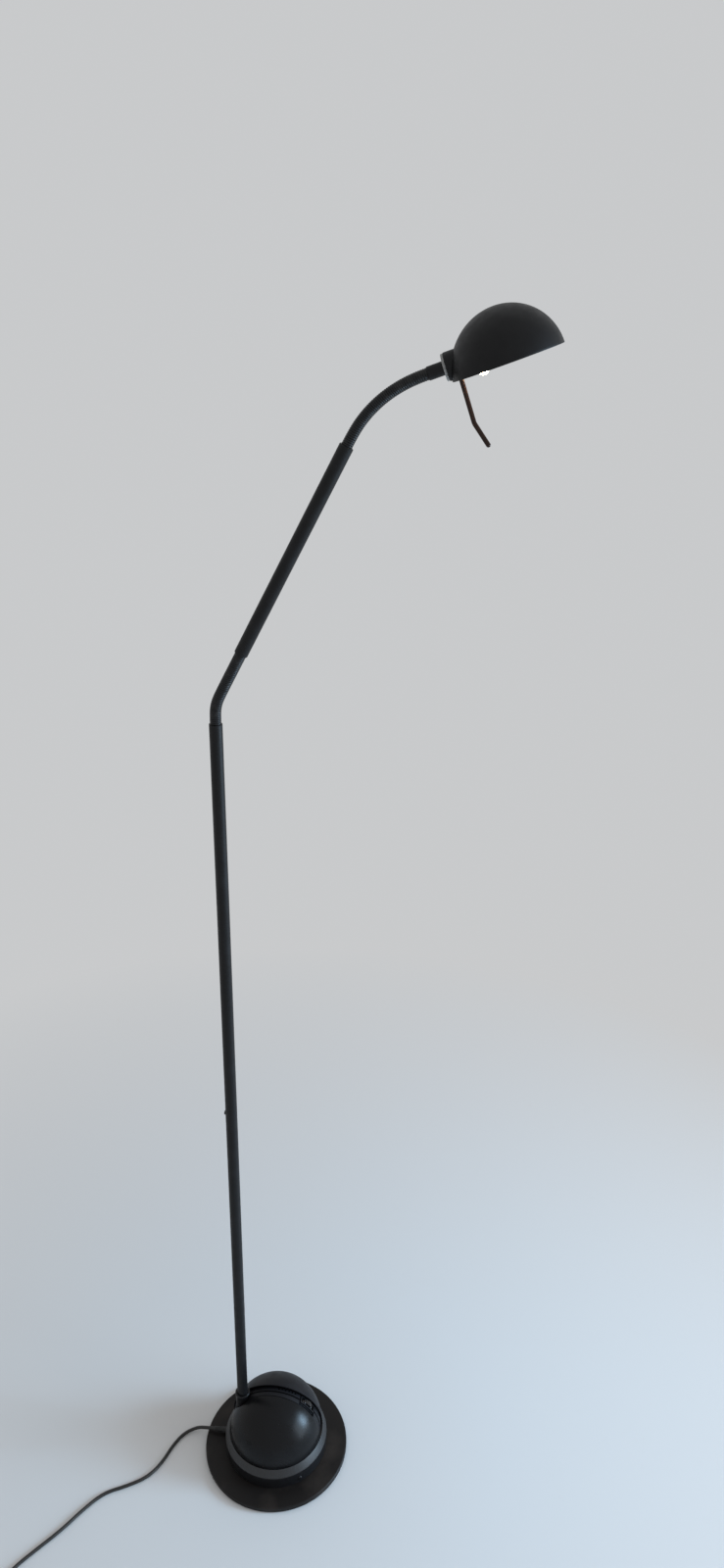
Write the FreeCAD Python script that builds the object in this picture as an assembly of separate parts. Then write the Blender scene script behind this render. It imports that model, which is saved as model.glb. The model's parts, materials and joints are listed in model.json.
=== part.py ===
import FreeCAD, Part
import math
import os

# Gooseneck reading floor lamp, in millimetres, +Z up.
# The origin is the centre of the base's underside. The pole stands to the left of it, on -X,
# and the arm and the shade lean over to the right, in the plane Y = 0.

os.makedirs("parts", exist_ok=True)
Vector = FreeCAD.Vector
ORIGIN = Vector(0, 0, 0)
X_AXIS = Vector(1, 0, 0)
Y_AXIS = Vector(0, 1, 0)
Z_AXIS = Vector(0, 0, 1)

# Fits
seat_fit = 0.05                # radial, between pieces that are pushed together
screw_fit = 0.2                # radial, round a screw's shank
open_gap = 0.3                 # between pieces that only lie side by side
tool_spare = 1.0               # that a hole's cutting tool reaches past the wall

# Weighted base
pad_radius = 105.0
pad_thickness = 1.5
plate_radius = 111.0
plate_thickness = 8.0
plate_edge_round = 2.0
plate_top = pad_thickness + plate_thickness

# Housing on the base: a drum with a bevelled ring on top
housing_radius = 79.5
housing_wall = 2.5
drum_height = 20.5
bevel_height = 11.3
bevel_inset = 6.7
seat_depth = 1.8
ledge_width = 8.0
drum_top = plate_top + drum_height
ring_top = drum_top + bevel_height
seat_radius = housing_radius - bevel_inset
ledge_height = ring_top - seat_depth

# Front and rear domes, parted by the ribbed arch
dome_wall = 2.2
dome_radius = seat_radius - open_gap
rear_dome_rise = 5.2
front_parting = -10.6          # Y of the front dome's edge at the ring's top
front_parting_slope = 0.06
rear_parting = 14.5            # Y of the rear dome's edge at the ring's top
rear_parting_slope = -0.07

# Ribbed arch
arch_rise = 2.2
rib_height = 3.0
arch_radius = dome_radius - dome_wall - open_gap - rib_height
arch_wall = 2.5
arch_lap = 3.5
rib_groove = 2.4
rib_groove_y = 2.3
front_rib_gap = 1.3            # between the front dome's edge and the front rib
rear_rib_lap = 1.6             # of the rear rib under the rear dome's edge
vent_count = 6                 # in each of the two rows
vent_width = 2.2
vent_step_angle = 4.4          # degrees
vent_start_angle = 3.5         # degrees from the top, towards +X
groove_vent_length = 2.0
rib_vent_length = 3.6
rib_vent_y = 8.4

# Dimmer
dimmer_angle = 46.0            # degrees from the top, towards +X
dimmer_y = 4.4
pocket_length = 32.4
pocket_width = 19.0
pocket_y = 1.7
pocket_floor = 0.5
frame_wall = 1.6               # round the wheel's slot
frame_stand_out = 0.6          # beyond the ribs
frame_step_width = 1.3
frame_step_drop = 1.7          # below the ribs' outer face
wheel_radius = 12.5
wheel_width = 7.0
wheel_stand_out = 4.0
wheel_side_gap = 0.6
wheel_end_gap = 0.6
flute_count = 24
flute_radius = 0.8
shaft_radius = 2.0
pot_radius = 3.4
pot_length = 4.5
board_thickness = 1.6
board_width = 36.0
board_height = 42.0
board_edge_gap = 2.5
board_offset = 6.0             # of its middle from the wheel's, towards the housing's middle
board_screw_low = 4.6          # of the lower screw above the board's lower edge
board_screw_spacing = 12.6
bracket_thickness = 1.5
bracket_width = 16.0
bracket_foot = 16.0
bracket_boss_radius = 3.0
bracket_boss_length = 3.0
small_screw_radius = 1.5
small_head_radius = 2.8
small_head_height = 1.8
small_screw_length = 4.0

# Pole
tube_radius = 8.0
tube_wall = 1.2
lower_pole_length = 642.5
upper_pole_length = 558.0
socket_wall = 2.3
socket_height = 98.5
socket_rim_height = 3.5
socket_rim_width = 0.9
socket_flange_radius = 21.0
socket_flange_thickness = 3.0
socket_clear = 0.4
socket_bore = tube_radius + screw_fit / 2
socket_radius = socket_bore + socket_wall
pole_ledge_gap = 2.2           # between the socket and the housing's ledge
pole_x = -(seat_radius - ledge_width - pole_ledge_gap - socket_radius)
socket_screw_circle = 15.8
socket_screw_count = 3
foot_plug_length = 22.0
pole_bolt_radius = 4.0
pole_bolt_head_radius = 6.5
pole_bolt_head_height = 3.6
pole_bolt_reach = 18.0
spigot_length = 60.0
spigot_wall = 1.5
joint_screw_drop = 6.5
joint_screw_length = 5.0
bush_length = 18.0

# Goosenecks: straight ribbed links that nest in each other, each turning on the next
rib_pitch = 3.1
rib_depth = 0.9
lower_neck_radius = 6.8
upper_neck_radius = 6.25
link_wall = 0.7
link_fit = 0.4
link_spigot_wall = 1.2
link_spigot_reach = 1.2
link_tail = 16.0
most_bend_angle = 22.0         # degrees that a link turns from straight, either way
face_spare_angle = 1.5         # degrees left between two links' faces there
lower_links = [14.0, 9.0, 9.0, 28.0, 33.0]
lower_bend_angles = [9.2, 9.2, 9.1, 0.0]
upper_links = [18.0, 20.0, 20.0, 20.0, 20.0, 14.5]
upper_bend_angles = [9.0, 9.0, 9.0, 8.0, 7.5]

# Arm
arm_length = 260.0

# Sleeve, washer and collar at the neck's end
sleeve_length = 17.0
sleeve_radius = 7.0
washer_radius = 13.6
washer_thickness = 2.6
collar_radius = 14.2
collar_wall = 2.0
collar_back_wall = 2.5
collar_length = 16.0
collar_height = 15.9           # of its axis above the shade's rim
collar_back = -59.5            # from the rim's middle

# Shade and reflector
shade_radius = 57.8            # of the ball that the shade is cut from
shade_cut = 3.1                # of its rim above that ball's centre
shade_wall = 1.0
reflector_gap = 2.0
reflector_wall = 0.6
reflector_lift = 3.0
reflector_notch = -30.9
reflector_notch_width = 26.0

# Nipple that holds the neck, the shade and the lamp bracket together
nipple_radius = 5.0
nipple_bore = 3.5
nipple_in_sleeve = 9.0
nipple_past_nut = 1.0
nut_width = 12.0
nut_thickness = 3.0
spacer_radius = 7.0

# Lamp bracket, holder and halogen capsule
strap_thickness = 1.5
strap_width = 14.0
strap_back = -46.2             # from the rim's middle
strap_foot = 1.0
strap_shoulder = 24.0
strap_top = 40.5
strap_knee = -33.6
strap_end = -18.6
bulb_x = -25.1
holder_width = 13.0
holder_depth = 12.0
holder_height = 12.0
capsule_radius = 6.0
capsule_wall = 1.0
capsule_tip = -3.4             # the tip hangs below the shade's rim
capsule_shoulder = 23.0
pinch_width = 9.0
pinch_depth = 3.6
pin_radius = 0.6
pin_spacing = 6.35
pin_depth = 8.0
lead_radius = 0.3
filament_radius = 0.9
filament_height = 8.0

# Handle rod under the shade
handle_radius = 2.5
handle_weld = 6.5
handle_bend_drop = 44.6
handle_tip_drop = 69.5
handle_tip_reach = 7.4
handle_bend_radius = 14.0

# Inside the housing
transformer_x = 12.0
transformer_y = -24.0
transformer_radius = 36.0
transformer_bore = 13.0
transformer_height = 34.0
transformer_chamfer = 4.0
dish_radius = 26.0
dish_thickness = 1.6
transformer_bolt_radius = 2.5
bolt_head_height = 3.0
bolt_nut_width = 8.0
bolt_nut_height = 4.0
bolt_past_nut = 2.0
terminal_x = -8.0
terminal_y = 46.0
terminal_length = 24.0
terminal_width = 15.0
terminal_height = 12.0
terminal_ways = 3
terminal_hole_radius = 1.8
terminal_pitch = 7.0
post_radius = 4.5
post_lap = 0.5                 # that a post is let into the drum's wall
post_circle = housing_radius - housing_wall - post_radius + post_lap
post_height = 17.0
post_angles = [80.0, 205.0, 325.0]
housing_screw_radius = 2.0
housing_head_radius = 3.8
housing_head_height = 2.4
housing_screw_depth = 11.0
side_screw_angle = -51.8       # degrees round from +X
side_screw_height = 18.4
side_boss_length = 8.0

# Mains cord
cord_radius = 2.5
cord_exit_height = 16.0
relief_length = 22.0
relief_root_radius = 4.6
relief_tip_radius = 3.3
relief_flange_radius = 6.2
relief_flange_thickness = 1.6
coil_turns = 3                 # in each of the two layers
coil_radius = 34.5
coil_gap = 0.5
coil_exit_run = 26.0
plug_length = 36.0
plug_width = 35.0
plug_corner = 4.0
plug_neck_length = 14.0
plug_neck_radius = 4.2
plug_neck_tip_radius = 3.2
plug_pin_radius = 2.0
plug_pin_length = 19.0
plug_pin_spacing = 19.0

# The cord's route over the floor, from inside the strain relief to the coil, chosen by hand
cord_route = [
    (-75.2, 0.0, 16.0),
    (-112.0, 0.0, 16.0),
    (-131.0, 5.0, 6.4),
    (-150.0, -5.5, 2.6),
    (-162.0, -29.0, 2.6),
    (-169.5, -56.0, 2.6),
    (-184.5, -82.5, 2.6),
    (-212.0, -101.0, 2.6),
    (-243.0, -116.0, 2.6),
    (-265.0, -144.0, 2.6),
    (-286.0, -178.0, 2.6),
    (-310.5, -208.5, 2.6),
    (-333.0, -237.5, 2.6),
    (-348.0, -268.0, 2.6),
]


def export(node, shape):
    shape.exportStep("parts/" + node + ".step")


def cylinder(radius, height, base=ORIGIN, axis=Z_AXIS):
    return Part.makeCylinder(radius, height, base, axis)


def ring(outer, inner, height, base=ORIGIN, axis=Z_AXIS):
    return cylinder(outer, height, base, axis).cut(cylinder(inner, height, base, axis))


def block(x_size, y_size, z_size, centre_x, centre_y, low_z):
    corner = Vector(centre_x - x_size / 2, centre_y - y_size / 2, low_z)
    return Part.makeBox(x_size, y_size, z_size, corner)


def revolved(profile):
    # a closed outline of (radius, height) points, turned about Z
    points = [Vector(radius, 0, height) for radius, height in profile]
    outline = Part.makePolygon(points + [points[0]])
    return Part.Face(outline).revolve(ORIGIN, Z_AXIS, 360)


def hexagon(width, height, base=ORIGIN, axis=Z_AXIS):
    # flat to flat width; two flats face along Y
    corner = width / math.sqrt(3)
    turns = [math.radians(60 * i) for i in range(6)]
    points = [Vector(corner * math.cos(t), corner * math.sin(t), 0) for t in turns]
    prism = Part.Face(Part.makePolygon(points + [points[0]])).extrude(Z_AXIS * height)
    prism.Placement = FreeCAD.Placement(base, FreeCAD.Rotation(Z_AXIS, axis))
    return prism


def leaned(shape, lean, place):
    # leans a piece that stands on the origin towards +X, and moves it to its place
    copy = shape.copy()
    copy.rotate(ORIGIN, Y_AXIS, lean)
    copy.translate(place)
    return copy


def direction(lean):
    turn = math.radians(lean)
    return Vector(math.sin(turn), 0, math.cos(turn))


def joined(shapes):
    first = shapes[0]
    return first.multiFuse(shapes[1:]).removeSplitter()


def tangent_arc(start, heading, end):
    # leaves start along the heading and ends at end
    chord = end - start
    half = chord.Length / 2
    along = Vector(chord).normalize()
    side = heading - along * heading.dot(along)
    bulge = half * math.tan(heading.getAngle(chord) / 2)
    middle = start + along * half + side.normalize() * bulge
    return Part.Arc(start, middle, end).toShape()


def line(start, end):
    return Part.LineSegment(start, end).toShape()


def tube_along(wire, radius, start, heading):
    profile = Part.Wire([Part.makeCircle(radius, start, heading)])
    shell = Part.BRepOffsetAPI.MakePipeShell(wire)
    shell.add(profile)
    shell.build()
    shell.makeSolid()
    return shell.shape()


def rounded_route(points):
    # straight runs joined by tangent arcs, each as large as its two runs allow
    arc_share = 0.45
    edges = []
    radii = []
    last = points[0]
    for before, corner, after in zip(points, points[1:], points[2:]):
        into = (corner - before)
        out = (after - corner)
        reach = arc_share * min(into.Length, out.Length)
        radii.append(reach / math.tan(into.getAngle(out) / 2))
        arc_start = corner - into.normalize() * reach
        arc_end = corner + out.normalize() * reach
        edges.append(line(last, arc_start))
        edges.append(tangent_arc(arc_start, into, arc_end))
        last = arc_end
    edges.append(line(last, points[-1]))
    return Part.Wire(edges), radii


# Base plate and its pad

def around(circle, angles):
    turns = [math.radians(a) for a in angles]
    return [(circle * math.cos(t), circle * math.sin(t)) for t in turns]


def sunk_hole(x, y, shank, head, head_height):
    # through the plate, with room for a screw's head in its underside
    hole = cylinder(shank + screw_fit, plate_thickness, Vector(x, y, pad_thickness))
    sink = cylinder(head + screw_fit, head_height + open_gap, Vector(x, y, pad_thickness))
    return hole.fuse(sink)


def screw_from_below(x, y, shank, head, head_height, reach):
    # its head bears on the top of the sunk hole, and it reaches above the plate
    low = pad_thickness + open_gap
    screw = cylinder(head, head_height, Vector(x, y, low))
    return screw.fuse(cylinder(shank, plate_top + reach - low, Vector(x, y, low)))


def post_places():
    return around(post_circle, post_angles)


def socket_screw_places():
    step = 360 / socket_screw_count
    places = around(socket_screw_circle, [step * i + step / 2 for i in range(socket_screw_count)])
    return [(pole_x + x, y) for x, y in places]


def bracket_screw_place():
    return board_x(), bracket_back() + bracket_thickness + bracket_foot / 2


def base_plate():
    plate = cylinder(plate_radius, plate_thickness, Vector(0, 0, pad_thickness))
    rim = [e for e in plate.Edges if e.BoundBox.ZMin > plate_top - seat_fit]
    plate = plate.makeFillet(plate_edge_round, rim)
    for x, y in post_places():
        plate = plate.cut(sunk_hole(x, y, housing_screw_radius, housing_head_radius,
                                    housing_head_height))
    plate = plate.cut(sunk_hole(transformer_x, transformer_y, transformer_bolt_radius,
                                housing_head_radius, bolt_head_height))
    plate = plate.cut(sunk_hole(pole_x, 0, pole_bolt_radius, pole_bolt_head_radius,
                                pole_bolt_head_height))
    for x, y in socket_screw_places() + [bracket_screw_place()]:
        low = Vector(x, y, plate_top - small_screw_length)
        plate = plate.cut(cylinder(small_screw_radius + seat_fit, small_screw_length, low))
    return plate


# Lower housing

def side_cylinder(radius, start, end):
    # along the side screw's axis, from start to end outside the drum
    turn = math.radians(side_screw_angle)
    axis = Vector(math.cos(turn), math.sin(turn), 0)
    base = axis * (housing_radius + start) + Z_AXIS * side_screw_height
    return cylinder(radius, end - start, base, axis)


def lower_housing():
    inner = housing_radius - housing_wall
    inner_seat = seat_radius - housing_wall
    profile = [
        (housing_radius, plate_top), (housing_radius, drum_top),
        (seat_radius + seat_depth * bevel_inset / bevel_height, ring_top - seat_depth),
        (seat_radius + open_gap, ring_top), (seat_radius, ring_top), (seat_radius, ledge_height),
        (seat_radius - ledge_width, ledge_height),
        (seat_radius - ledge_width, ledge_height - housing_wall),
        (inner_seat, ledge_height - housing_wall), (inner, drum_top - housing_wall),
        (inner, plate_top),
    ]
    housing = revolved(profile)
    posts = [cylinder(post_radius, post_height, Vector(x, y, plate_top)) for x, y in post_places()]
    boss = side_cylinder(post_radius, -housing_wall - side_boss_length, -housing_wall / 2)
    housing = joined([housing, boss] + posts)
    for x, y in post_places():
        depth = housing_screw_depth + screw_fit
        hole = cylinder(housing_screw_radius + seat_fit, depth, Vector(x, y, plate_top))
        housing = housing.cut(hole)
    housing = housing.cut(side_cylinder(small_screw_radius + seat_fit, -side_boss_length, tool_spare))
    gland_base = Vector(-housing_radius - tool_spare, 0, cord_exit_height)
    gland = cylinder(relief_root_radius + seat_fit, housing_wall * 2, gland_base, X_AXIS)
    return housing.cut(gland)


def side_screw():
    shank = side_cylinder(small_screw_radius, -side_boss_length + screw_fit, small_head_height)
    head = side_cylinder(small_head_radius, seat_fit, small_head_height)
    return shank.fuse(head)


# Domes and the ribbed arch between them

def dome(radius, centre_height):
    # a half ball on a short skirt that stands on the housing's ledge
    ball = Part.makeSphere(radius, Vector(0, 0, centre_height), Z_AXIS, 0, 90, 360)
    return ball.fuse(cylinder(radius, centre_height - ledge_height, Vector(0, 0, ledge_height)))


def dome_shell(outer, wall, centre_height):
    return dome(outer, centre_height).cut(dome(outer - wall, centre_height))


def behind(y, slope):
    # all that lies behind a leaning plane, which crosses the ring's top at y
    room = 4 * housing_radius
    half_space = block(room, room, room, 0, room / 2, -room / 2)
    half_space.rotate(ORIGIN, X_AXIS, -math.degrees(math.atan(slope)))
    half_space.translate(Vector(0, y, ring_top))
    return half_space


def pole_hole(radius):
    return cylinder(radius, 2 * socket_height, Vector(pole_x, 0, 0))


def socket_room():
    return socket_radius + socket_rim_width + socket_clear


def front_dome():
    shell = dome_shell(dome_radius, dome_wall, ring_top)
    shell = shell.cut(behind(front_parting, front_parting_slope))
    return shell.cut(pole_hole(socket_room()))


def rear_dome():
    shell = dome_shell(dome_radius, dome_wall, ring_top + rear_dome_rise)
    shell = shell.common(behind(rear_parting, rear_parting_slope))
    return shell.cut(pole_hole(socket_room()))


def arch_centre():
    return Vector(0, dimmer_y, ring_top + arch_rise)


def rib_radius():
    return arch_radius + rib_height


def across_arch(shape, angle):
    # a tool that stands above the arch's centre, turned round to its place on the arch
    return leaned(shape, angle, Vector(0, 0, ring_top + arch_rise))


def ribs():
    centre_height = ring_top + arch_rise
    band = dome_shell(rib_radius(), rib_height, centre_height)
    half_groove = rib_groove / 2
    front_rib = band.common(behind(front_parting + front_rib_gap, front_parting_slope))
    front_rib = front_rib.cut(behind(rib_groove_y - half_groove, 0))
    rear_rib = band.common(behind(rib_groove_y + half_groove, 0))
    rear_rib = rear_rib.cut(behind(rear_parting + rear_rib_lap, rear_parting_slope))
    return [front_rib, rear_rib]


def floor_radius():
    # of the pocket in the ribs
    return arch_radius - pocket_floor


def arch_bar(length, width, y):
    # stands across the arch at its top, and reaches from below it to well above the ribs
    return block(length, width, rib_radius(), 0, y, floor_radius() / 2)


def slot_length():
    return 2 * (math.sqrt(wheel_radius ** 2 - wheel_drop() ** 2) + wheel_end_gap)


def slot_width():
    return wheel_width + 2 * wheel_side_gap


def wheel_frame():
    # a raised frame round the wheel's slot, with a lower step round it
    steps = [(frame_wall, rib_radius() + frame_stand_out),
             (frame_wall + frame_step_width, rib_radius() - frame_step_drop)]
    bars = []
    for wall, radius in steps:
        bar = arch_bar(slot_length() + 2 * wall, slot_width() + 2 * wall, dimmer_y)
        bars.append(bar.common(Part.makeSphere(radius)))
    frame = joined(bars).cut(Part.makeSphere(arch_radius - arch_wall / 2))
    return across_arch(frame, dimmer_angle)


def vents():
    rows = [(groove_vent_length, rib_groove_y), (rib_vent_length, rib_vent_y)]
    angles = [vent_start_angle + i * vent_step_angle for i in range(vent_count)]
    return [across_arch(arch_bar(vent_width, length, y), angle) for length, y in rows
            for angle in angles]


def vent_band():
    shell = dome_shell(arch_radius, arch_wall, ring_top + arch_rise)
    shell = shell.common(behind(front_parting - arch_lap, front_parting_slope))
    shell = shell.cut(behind(rear_parting + arch_lap, rear_parting_slope))
    band = joined([shell] + ribs())
    pocket = arch_bar(pocket_length, pocket_width, pocket_y)
    pocket = pocket.cut(Part.makeSphere(floor_radius()))
    band = joined([band.cut(across_arch(pocket, dimmer_angle)), wheel_frame()])
    slot = arch_bar(slot_length(), slot_width(), dimmer_y)
    for tool in [across_arch(slot, dimmer_angle), pot_room(), pole_hole(socket_room())] + vents():
        band = band.cut(tool)
    return band


# Dimmer

def wheel_drop():
    # from the arch's inner face down to the wheel's centre
    wheel_reach = rib_radius() + wheel_stand_out - wheel_radius
    return arch_radius - arch_wall - wheel_reach


def wheel_centre():
    reach = arch_radius - arch_wall - wheel_drop()
    return arch_centre() + direction(dimmer_angle) * reach


def dimmer_wheel():
    base = wheel_centre() - Y_AXIS * wheel_width / 2
    wheel = cylinder(wheel_radius, wheel_width, base, Y_AXIS)
    for i in range(flute_count):
        turn = math.radians(360 / flute_count * i)
        edge = Vector(math.sin(turn), 0, math.cos(turn)) * (wheel_radius + flute_radius / 2)
        wheel = wheel.cut(cylinder(flute_radius, wheel_width, base + edge, Y_AXIS))
    shaft_length = wheel_width + wheel_side_gap + pot_length - screw_fit
    return wheel.fuse(cylinder(shaft_radius, shaft_length, base, Y_AXIS))


def pot_front():
    return dimmer_y + wheel_width / 2 + wheel_side_gap


def pot_base():
    centre = wheel_centre()
    return Vector(centre.x, pot_front(), centre.z)


def pot_room():
    return cylinder(pot_radius + open_gap, pot_length + open_gap, pot_base(), Y_AXIS)


def dimmer_pot():
    return ring(pot_radius, shaft_radius + seat_fit, pot_length, pot_base(), Y_AXIS)


def board_x():
    return wheel_centre().x - board_offset


def board_front():
    return pot_front() + pot_length


def bracket_back():
    return board_front() + board_thickness + bracket_boss_length


def board_low():
    return wheel_centre().z + 2 * pot_radius - board_height


def board_screw_places():
    first = board_low() + board_screw_low
    return [(board_x(), height) for height in (first, first + board_screw_spacing)]


def dimmer_board():
    board = block(board_width, board_thickness, board_height, board_x(),
                  board_front() + board_thickness / 2, board_low())
    room = arch_radius - arch_wall - board_edge_gap
    base = Vector(0, 0, ring_top + arch_rise)
    board = board.common(cylinder(room, 2 * room, base, Y_AXIS))
    for x, z in board_screw_places():
        hole = Vector(x, board_front(), z)
        board = board.cut(cylinder(small_screw_radius + screw_fit, board_thickness, hole, Y_AXIS))
    return board


def dimmer_bracket():
    back = bracket_back()
    top = board_screw_places()[1][1] + bracket_width / 2
    wall = block(bracket_width, bracket_thickness, top - plate_top, board_x(),
                 back + bracket_thickness / 2, plate_top)
    foot = block(bracket_width, bracket_foot, bracket_thickness, board_x(),
                 back + bracket_thickness + bracket_foot / 2, plate_top)
    bosses = []
    for x, z in board_screw_places():
        start = Vector(x, board_front() + board_thickness, z)
        bosses.append(cylinder(bracket_boss_radius, bracket_boss_length, start, Y_AXIS))
    bracket = joined([wall, foot] + bosses)
    for x, z in board_screw_places():
        start = Vector(x, board_front() + board_thickness, z)
        depth = bracket_boss_length + bracket_thickness
        bracket = bracket.cut(cylinder(small_screw_radius + seat_fit, depth, start, Y_AXIS))
    x, y = bracket_screw_place()
    low = Vector(x, y, plate_top)
    return bracket.cut(cylinder(small_screw_radius + screw_fit, bracket_thickness, low))


def small_screw(head_base, axis):
    # the head's underside is at head_base, and the shank runs against the axis
    head = cylinder(small_head_radius, small_head_height, head_base, axis)
    length = small_screw_length + bracket_thickness
    return head.fuse(cylinder(small_screw_radius, length, head_base, axis * -1))


def dimmer_screws():
    places = [Vector(x, board_front(), z) for x, z in board_screw_places()]
    screws = [small_screw(place, Y_AXIS * -1) for place in places]
    x, y = bracket_screw_place()
    foot_screw = small_screw(Vector(x, y, plate_top + bracket_thickness), Z_AXIS)
    return Part.Compound(screws + [foot_screw])


# Pole

def pole_socket():
    base = Vector(pole_x, 0, plate_top)
    rim_base = Vector(pole_x, 0, plate_top + socket_height - socket_rim_height)
    flange = cylinder(socket_flange_radius, socket_flange_thickness, base)
    tube = cylinder(socket_radius, socket_height, base)
    rim = cylinder(socket_radius + socket_rim_width, socket_rim_height, rim_base)
    socket = joined([flange, tube, rim])
    socket = socket.cut(cylinder(socket_bore, socket_height, base))
    for x, y in socket_screw_places():
        low = Vector(x, y, plate_top)
        socket = socket.cut(cylinder(small_screw_radius + screw_fit, socket_flange_thickness, low))
    return socket


def socket_screws():
    screws = []
    top = plate_top + socket_flange_thickness
    for x, y in socket_screw_places():
        head = cylinder(small_head_radius, small_head_height, Vector(x, y, top))
        reach = small_screw_length + socket_flange_thickness
        shank = cylinder(small_screw_radius, reach, Vector(x, y, top - reach))
        screws.append(head.fuse(shank))
    return Part.Compound(screws)


def pole_joint_height():
    return plate_top + lower_pole_length


def pole_top():
    return pole_joint_height() + upper_pole_length


def bore_radius():
    return tube_radius - tube_wall


def joint_screw_hole(radius, start, end):
    # along X, on the pole's left
    base = Vector(pole_x - tube_radius - start, 0, pole_joint_height() - joint_screw_drop)
    return cylinder(radius, end + start, base, X_AXIS)


def lower_pole():
    tube = ring(tube_radius, bore_radius(), lower_pole_length, Vector(pole_x, 0, plate_top))
    return tube.cut(joint_screw_hole(small_screw_radius + screw_fit, tool_spare, tube_radius))


def upper_pole():
    base = Vector(pole_x, 0, pole_joint_height())
    return ring(tube_radius, bore_radius(), upper_pole_length, base)


def pole_spigot():
    outer = bore_radius() - seat_fit
    base = Vector(pole_x, 0, pole_joint_height() - spigot_length / 2)
    spigot = ring(outer, outer - spigot_wall, spigot_length, base)
    return spigot.cut(joint_screw_hole(small_screw_radius + seat_fit, tool_spare, tube_radius))


def pole_joint_screw():
    head = joint_screw_hole(small_head_radius + screw_fit, small_head_height, 0)
    return head.fuse(joint_screw_hole(small_screw_radius, small_head_height, joint_screw_length))


def pole_foot_plug():
    base = Vector(pole_x, 0, plate_top)
    return ring(bore_radius() - seat_fit, pole_bolt_radius + seat_fit, foot_plug_length, base)


def tube_bush(tail_radius):
    # stands on the origin, open at both ends
    return ring(bore_radius() - seat_fit, tail_radius + seat_fit, bush_length)


# Goosenecks

def link_radii(crest):
    # of the cup in a link's lower end, of the spigot that nests in it, and of the bore
    cup = crest - rib_depth - link_wall
    spigot = cup - link_fit
    return cup, spigot, spigot - link_spigot_wall


def neck_link(crest, length, tail_below=0.0, tail_above=0.0):
    # along Z, turning on the link below at 0 and on the link above at its length
    cup, spigot, bore = link_radii(crest)
    face = math.tan(math.radians(most_bend_angle / 2 + face_spare_angle))
    cup_depth = link_spigot_reach + cup * math.sin(math.radians(most_bend_angle)) + link_fit
    low = 0.0 if tail_below else crest * face
    high = length if tail_above else length - crest * face
    if tail_below:
        outline = [(bore, -tail_below), (spigot, -tail_below), (spigot, 0)]
    else:
        outline = [(bore, cup_depth), (cup, cup_depth), (cup, cup * face)]
    rib_count = max(1, round((high - low) / rib_pitch))
    step = (high - low) / rib_count
    for i in range(rib_count):
        outline.append((crest, low + step * i))
        outline.append((crest - rib_depth, low + step * (i + 0.5)))
    outline.append((crest, high))
    if tail_above:
        outline += [(spigot, length), (spigot, length + tail_above), (bore, length + tail_above)]
    else:
        top = length + link_spigot_reach
        outline += [(spigot, length - spigot * face), (spigot, top), (bore, top)]
    return revolved(outline)


def neck_path(start, lean, lengths, bends):
    # each link's foot and lean, then the neck's far end
    places = []
    point = start
    for length, bend in zip(lengths, bends + [0.0]):
        places.append((point, lean))
        point = point + direction(lean) * length
        lean = lean + bend
    return places, point, lean


lower_places, arm_foot, arm_lean = neck_path(Vector(pole_x, 0, pole_top()), 0.0,
                                             lower_links, lower_bend_angles)
arm_head = arm_foot + direction(arm_lean) * arm_length
upper_places, sleeve_foot, head_lean = neck_path(arm_head, arm_lean, upper_links, upper_bend_angles)
washer_back = sleeve_foot + direction(head_lean) * sleeve_length


def export_neck(name, places, lengths, crest, end_tail):
    last = len(lengths) - 1
    for i, (place, length) in enumerate(zip(places, lengths)):
        below = link_tail if i == 0 else 0.0
        above = end_tail if i == last else 0.0
        link = neck_link(crest, length, below, above)
        export(name + "_link_" + str(i + 1), leaned(link, place[1], place[0]))


# Arm and the sleeve at the neck's end

def arm_tube():
    return leaned(ring(tube_radius, bore_radius(), arm_length), arm_lean, arm_foot)


def sleeve_step():
    return sleeve_length - nipple_in_sleeve - open_gap


def neck_sleeve():
    spigot = link_radii(upper_neck_radius)[1]
    sleeve = cylinder(sleeve_radius, sleeve_length)
    sleeve = sleeve.cut(cylinder(spigot + seat_fit, sleeve_length))
    room = cylinder(nipple_radius + seat_fit, sleeve_length, Z_AXIS * sleeve_step())
    return leaned(sleeve.cut(room), head_lean, sleeve_foot)


# Shade and what it holds. These stand in the shade's own frame: the origin is the middle of its
# rim, +Z is its crown and +X leads away from the neck. on_head() then puts them on the neck.

def on_head(shape):
    crown = direction(head_lean - 90)
    to_centre = washer_thickness - collar_back
    centre = washer_back + direction(head_lean) * to_centre - crown * collar_height
    return leaned(shape, head_lean - 90, centre)


def along_collar(radius, start, end):
    return cylinder(radius, end - start, Vector(start, 0, collar_height), X_AXIS)


def shade_ball(radius):
    return Part.makeSphere(radius, Z_AXIS * -shade_cut)


def ball_cap(radius):
    # what lies above the rim's plane
    low = math.degrees(math.asin(shade_cut / radius))
    return Part.makeSphere(radius, Z_AXIS * -shade_cut, Z_AXIS, low, 90, 360)


def ball_reach(radius, height):
    # out to the ball's surface at a height above the rim
    return math.sqrt(radius ** 2 - (height + shade_cut) ** 2)


def nipple_hole():
    return along_collar(nipple_radius + screw_fit, collar_back - washer_thickness, 0)


def head_washer():
    washer = along_collar(washer_radius, collar_back - washer_thickness, collar_back)
    return washer.cut(nipple_hole())


def shade_collar():
    end = collar_back + collar_length
    collar = along_collar(collar_radius, collar_back, end)
    hollow = along_collar(collar_radius - collar_wall, collar_back + collar_back_wall, end)
    collar = collar.cut(hollow).cut(nipple_hole())
    return collar.cut(shade_ball(shade_radius + seat_fit))


def shade():
    return ball_cap(shade_radius).cut(ball_cap(shade_radius - shade_wall)).cut(nipple_hole())


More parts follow.
